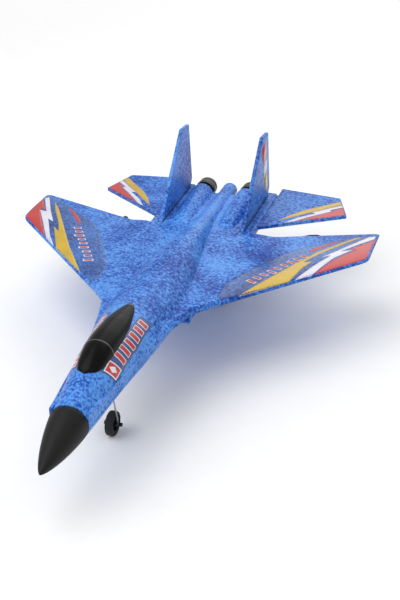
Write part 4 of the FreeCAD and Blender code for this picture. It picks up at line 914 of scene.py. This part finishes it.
@dataclass
class Markings(Assembly):
    """Printed films that lie on wings, tailplanes, fins and nose, and a dark film of painted shade at each
    fin's foot.
    """

    film_lift: float = 0.09
    film_thickness: float = 0.03
    cell: float = 1.7
    edge_step: float = 1.5
    wing_bars: int = 9
    nose_bars: int = 6
    fin_face: float = 36.36
    tail_top: float = 0.5
    tail_out: float = 44.0
    tail_slope: float = math.tan(math.radians(4.0))

    def build(self) -> None:
        """Lay every film."""
        for side in SIDES:
            self.lay(side, Marking("wing_tint", "blue_film", WING_TINT, 0.05))
            for colour, outline in WING_FLASHES[side].items():
                self.lay(side, Marking(f"wing_{colour}", f"{colour}_film", outline, self.film_lift))
            self.stripes(side)
            for colour, outline in TAIL_FLASHES.items():
                self.lay(side, Marking(f"tail_{colour}", f"{colour}_film", outline), self.tailplane_top)
            self.fin_films(side)
            # A dark film of painted shade round the fin's foot, for the shade in its slot.
            self.lay(side, Marking("fin_gap", "shadow", FIN_SLOT_SHADE, 0.05))
            self.nose_films(side)

    def tailplane_top(self, across: Array, station: Array) -> Array:
        """Upper face of the drooping tailplane, which is level along its length."""
        return self.tail_top - (across - self.tail_out) * self.tail_slope + np.zeros_like(station)

    def lay(self, side: str, film: Marking, surface: Callable[[Array, Array], Array] = skin) -> None:
        """Drape one film over a surface, on one side of the airframe.

        Args:
            side: port or starboard.
            film: its name, finish, outline and lift.
            surface: gives the surface's height at a distance out and a station.
        """
        corners = np.asarray(film.outline, float)
        ends = np.roll(corners, -1, axis=0)
        lengths = np.linalg.norm(ends - corners, axis=1)
        steps = [max(2, int(length / self.edge_step)) for length in lengths]
        border = np.concatenate([start + (end - start) * np.linspace(0, 1, count, endpoint=False)[:, None]
                                 for start, end, count in zip(corners, ends, steps)])
        spans = [np.arange(low, high, self.cell) for low, high in zip(corners.min(0), corners.max(0))]
        grid = np.stack(np.meshgrid(*spans), -1).reshape(-1, 2)
        points = [Vector(point) for point in np.concatenate([border, grid])]
        flat, _, faces, *_ = delaunay_2d_cdt(points, [], [tuple(range(len(border)))], 1, 1e-5)
        used = np.unique(np.concatenate([np.array(face) for face in faces]))
        renumber = np.full(len(flat), -1)
        renumber[used] = np.arange(len(used))
        flat = np.array([tuple(point) for point in flat])[used]
        height = surface(flat[:, 0], flat[:, 1]) + film.lift
        rows = np.column_stack([SIDES[side] * flat[:, 0], flat[:, 1], height])
        triangles = [[int(renumber[corner]) for corner in face] for face in faces]
        self.stick(f"{side}_{film.name}", film.finish, rows, triangles)

    def stick(self, name: str, finish: str, rows: Array, faces: list) -> None:
        """Make a film from layout rows and faces: a sheet whose faces look up, with a small thickness."""
        mesh = bpy.data.meshes.new(name)
        mesh.from_pydata(LAYOUT.world(rows).tolist(), [], faces)
        normals = np.array([tuple(polygon.normal) for polygon in mesh.polygons])
        if normals[:, 2].sum() < 0:
            mesh.flip_normals()
        mesh.shade_smooth()
        film = bpy.data.objects.new(name, mesh)
        bpy.context.scene.collection.objects.link(film)
        solid = film.modifiers.new("film_thickness", "SOLIDIFY")
        solid.thickness, solid.offset = self.film_thickness * MM, -1.0
        self.keep(film, finish, None, AIRFRAME)

    def stripes(self, side: str) -> None:
        """A row of slanted bars along the wing film's inner edge, and a dart after it."""
        start, end = np.array([60.5, 249.5]), np.array([92.5, 303.5])
        length = np.linalg.norm(end - start)
        run = (end - start) / length
        out = np.array([run[1], -run[0]])
        for index, at in enumerate(np.linspace(0, length - 5.0, self.wing_bars)):
            tall = 6.4 if index % 3 else 8.2
            foot = start + run * at
            corners = [foot, foot + run * 3.4, foot + run * 4.6 + out * tall, foot + run * 1.2 + out * tall]
            name = f"wing_bar_{index + 1}"
            self.lay(side, Marking(name, "white_film", corners, self.film_lift))
            centre = np.mean(corners, axis=0)
            core = [centre + (corner - centre) * 0.72 for corner in corners]
            self.lay(side, Marking(f"{name}_core", "red_film", core, self.film_lift + 0.04))
        self.lay(side, Marking("wing_arrow", "red_film", WING_DART, self.film_lift))

    def fin_films(self, side: str) -> None:
        """A flash of red, white and yellow on a fin's outer face."""
        for colour, outline in FIN_FLASHES.items():
            rows = [(SIDES[side] * self.fin_face, station, height) for station, height in outline]
            self.stick(f"{side}_fin_{colour}", f"{colour}_film", np.array(rows), [list(range(len(rows)))])

    def nose_films(self, side: str) -> None:
        """A panel along each side of the nose, with a square badge and slanted bars."""
        self.side_patch(side, "nose_panel", "navy_film", slanted(0, 0, 1, 1), 0.08)
        self.side_patch(side, "badge_rim", "white_film", slanted(0.02, 0.10, 0.17, 0.92), 0.12)
        self.side_patch(side, "badge", "red_film", slanted(0.035, 0.16, 0.155, 0.86), 0.16)
        diamond = [(0.095, 0.26), (0.135, 0.5), (0.095, 0.76), (0.055, 0.5)]
        self.side_patch(side, "badge_diamond", "white_film", diamond, 0.2)
        for index, at in enumerate(np.linspace(0.24, 0.86, self.nose_bars)):
            layers = (("rim", "white_film", 0.012, 0.12), ("core", "red_film", 0, 0.16))
            for label, finish, grow, lift in layers:
                bar = slanted(at - grow, 0.17 - 3 * grow, at + 0.055 + grow, 0.83 + 3 * grow, 0.025)
                self.side_patch(side, f"nose_bar_{index + 1}_{label}", finish, bar, lift)

    def side_patch(self, side: str, name: str, finish: str, corners: Outline, lift: float) -> None:
        """Lay a four-cornered film on the nose's side.

        Args:
            side: port or starboard.
            name: the film's name.
            finish: its material.
            corners: four (along, up) corners, from 0 to 1 of the nose panel.
            lift: its height over the skin in millimetres.
        """
        count = 24
        steps = np.linspace(0, 1, count)
        inside = inside_corners(corners, *np.meshgrid(steps, steps, indexing="ij"))
        place = inside_corners(NOSE_PANEL, inside[..., 0], inside[..., 1])
        station, angle = place[..., 0], np.radians(place[..., 1])
        across = body_edge(station) * np.cos(angle)
        height = body_top(across, station) + lift * np.sin(angle)
        grid = np.stack([SIDES[side] * (across + lift * np.cos(angle)), station, height], axis=-1)
        faces = grid_faces(count, count, closed_around=False)
        self.stick(f"{side}_{name}", finish, grid.reshape(-1, 3), faces.tolist())


@dataclass
class RunningGear(Assembly):
    """Round-shouldered tyres on the CAD's wheels."""

    bore_radius: float = 6.38 * MM
    hair: float = 0.02 * MM
    squareness: float = 0.7

    def build(self) -> None:
        """Replace each tyre."""
        for wheel in ("nose", "port_main", "starboard_main"):
            self.keep(self.tyre(wheel), "black_rubber", "black_rubber", f"{wheel}_wheel_set", f"{wheel}_tyre")

    def tyre(self, wheel: str) -> bpy.types.Object:
        """A tyre turned about the axle, from a rounded section, just inside the CAD tyre's box."""
        low, high = (np.array(corner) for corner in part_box(f"{wheel}_tyre"))
        outer, half_width = (high[2] - low[2]) / 2 - self.hair, (high[0] - low[0]) / 2 - self.hair
        turn = np.linspace(0, 2 * np.pi, 29)[None, :-1]
        spin = np.linspace(0, 2 * np.pi, 73)[:-1, None]
        sine, cosine = np.sin(turn), np.cos(turn)
        across = half_width * np.sign(cosine) * np.abs(cosine) ** self.squareness + 0 * spin
        wall = (outer - self.bore_radius) / 2
        radius = (outer + self.bore_radius) / 2 + wall * np.sign(sine) * np.abs(sine) ** self.squareness
        grid = np.stack([across, radius * np.cos(spin), radius * np.sin(spin)], axis=-1) + (low + high) / 2
        return ring_object(f"{wheel}_tyre_ring", grid, 60.0)


@dataclass
class Fittings(Assembly):
    """Everything that keeps its CAD shape: motors, legs, battery, board and leads."""

    def build(self) -> None:
        """Give each shown CAD node the finish of its slot."""
        for name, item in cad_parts.items():
            if item.hide_render:
                continue
            slot = item.data.materials[0].name.split(".")[0]
            self.palette.dress(item, slot)
            item.data.shade_smooth()
            item.data.set_sharp_from_angle(angle=math.radians(32))
            LOG.debug("%s wears %s", name, slot)


# ------------------------------------------------------------------ light and camera
def area_light(name: str, place: Sequence[float], power: float) -> None:
    """A square soft light that faces the model."""
    lamp = bpy.data.lights.new(name, "AREA")
    lamp.size, lamp.energy = 1.4, power
    holder = bpy.data.objects.new(name, lamp)
    holder.location = place
    model = Vector((0.0, 0.0, 0.05))
    holder.rotation_euler = (model - Vector(place)).to_track_quat("-Z", "Y").to_euler()
    bpy.context.scene.collection.objects.link(holder)


def fade_out(material: bpy.types.Material, start: float, end: float) -> None:
    """Make a floor vanish when it is seen from below, and towards its rim.

    Args:
        material: the floor's material.
        start: distance from the middle, in metres, where it starts to vanish.
        end: distance where it has vanished.
    """
    tree = material.node_tree
    ends = {part.type: part for part in tree.nodes}
    under = node(tree, "NewGeometry").outputs["Backfacing"]
    where = node(tree, "TexCoord").outputs["Object"]
    away = node(tree, "VectorMath", {0: where}, operation="LENGTH").outputs["Value"]
    rim = node(tree, "MapRange", {0: away, 1: start, 2: end}, interpolation_type="SMOOTHSTEP").outputs[0]
    unseen = node(tree, "Math", {0: under, 1: rim}, operation="MAXIMUM").outputs[0]
    through = node(tree, "BsdfTransparent").outputs[0]
    shown = node(tree, "MixShader", {0: unseen, 1: ends["BSDF_PRINCIPLED"].outputs[0], 2: through})
    tree.links.new(shown.outputs[0], ends["OUTPUT_MATERIAL"].inputs[0])


def set_stage() -> None:
    """A pale floor, soft light and a white surround."""
    reach = 1.5
    corners = [(-reach, -reach, 0), (reach, -reach, 0), (reach, reach, 0), (-reach, reach, 0)]
    paper = Finish("matt_white_paper", "#fbfbfb", "#f8f8f8", 0.95, relief_mm=0.001).build()
    fade_out(paper, 0.75, 1.3)
    sheet = bpy.data.meshes.new("studio_floor")
    sheet.from_pydata(corners, [], [(0, 1, 2, 3)])
    sheet.materials.append(paper)
    floor = bpy.data.objects.new("studio_floor", sheet)
    bpy.context.scene.collection.objects.link(floor)
    world = bpy.data.worlds.new("studio")
    bpy.context.scene.world = world
    world.use_nodes = True
    tree = world.node_tree
    tree.nodes.clear()
    seen = node(tree, "LightPath").outputs["Is Camera Ray"]
    sky = node(tree, "Background", {"Color": (1, 1, 1, 1), "Strength": 0.56}).outputs[0]
    plain = node(tree, "Background", {"Color": (1, 1, 1, 1), "Strength": 1.0}).outputs[0]
    blend = node(tree, "MixShader", {0: seen, 1: sky, 2: plain}).outputs[0]
    node(tree, "OutputWorld", {"Surface": blend})
    area_light("key", (-0.55, -0.45, 1.25), 13.0)
    area_light("fill", (0.95, -0.9, 0.9), 2.6)
    area_light("back", (0.2, 1.2, 0.9), 6.0)


def set_camera() -> None:
    """The main camera: high on the port bow, looking along the model."""
    lens = bpy.data.cameras.new("main_camera")
    lens.lens, lens.sensor_width = 78.0, 36.0
    lens.clip_start, lens.clip_end = 0.01, 50.0
    camera = bpy.data.objects.new("main_camera", lens)
    right, up = Vector((0.95589, 0.29362, -0.00735)), Vector((-0.13228, 0.45272, 0.88179))
    up = (up - right * up.dot(right)).normalized()
    back = right.cross(up)
    turn = Matrix((right, up, back)).transposed().to_4x4()
    camera.matrix_world = Matrix.Translation(Vector((0.2851, -0.80245, 0.5126))) @ turn
    bpy.context.scene.collection.objects.link(camera)
    bpy.context.scene.camera = camera
    bpy.context.scene.view_settings.view_transform = "Standard"


def main() -> None:
    """Build every sub-assembly, then the light and the camera."""
    logging.basicConfig(level=logging.INFO)
    palette = Palette()
    for kind in (Foam, Nose, Markings, RunningGear, Fittings):
        group = kind(palette)
        group.build()
        LOG.info("%s: %d pieces", kind.__name__, len(group.pieces))
    set_stage()
    set_camera()


if __name__ == "__main__":
    main()
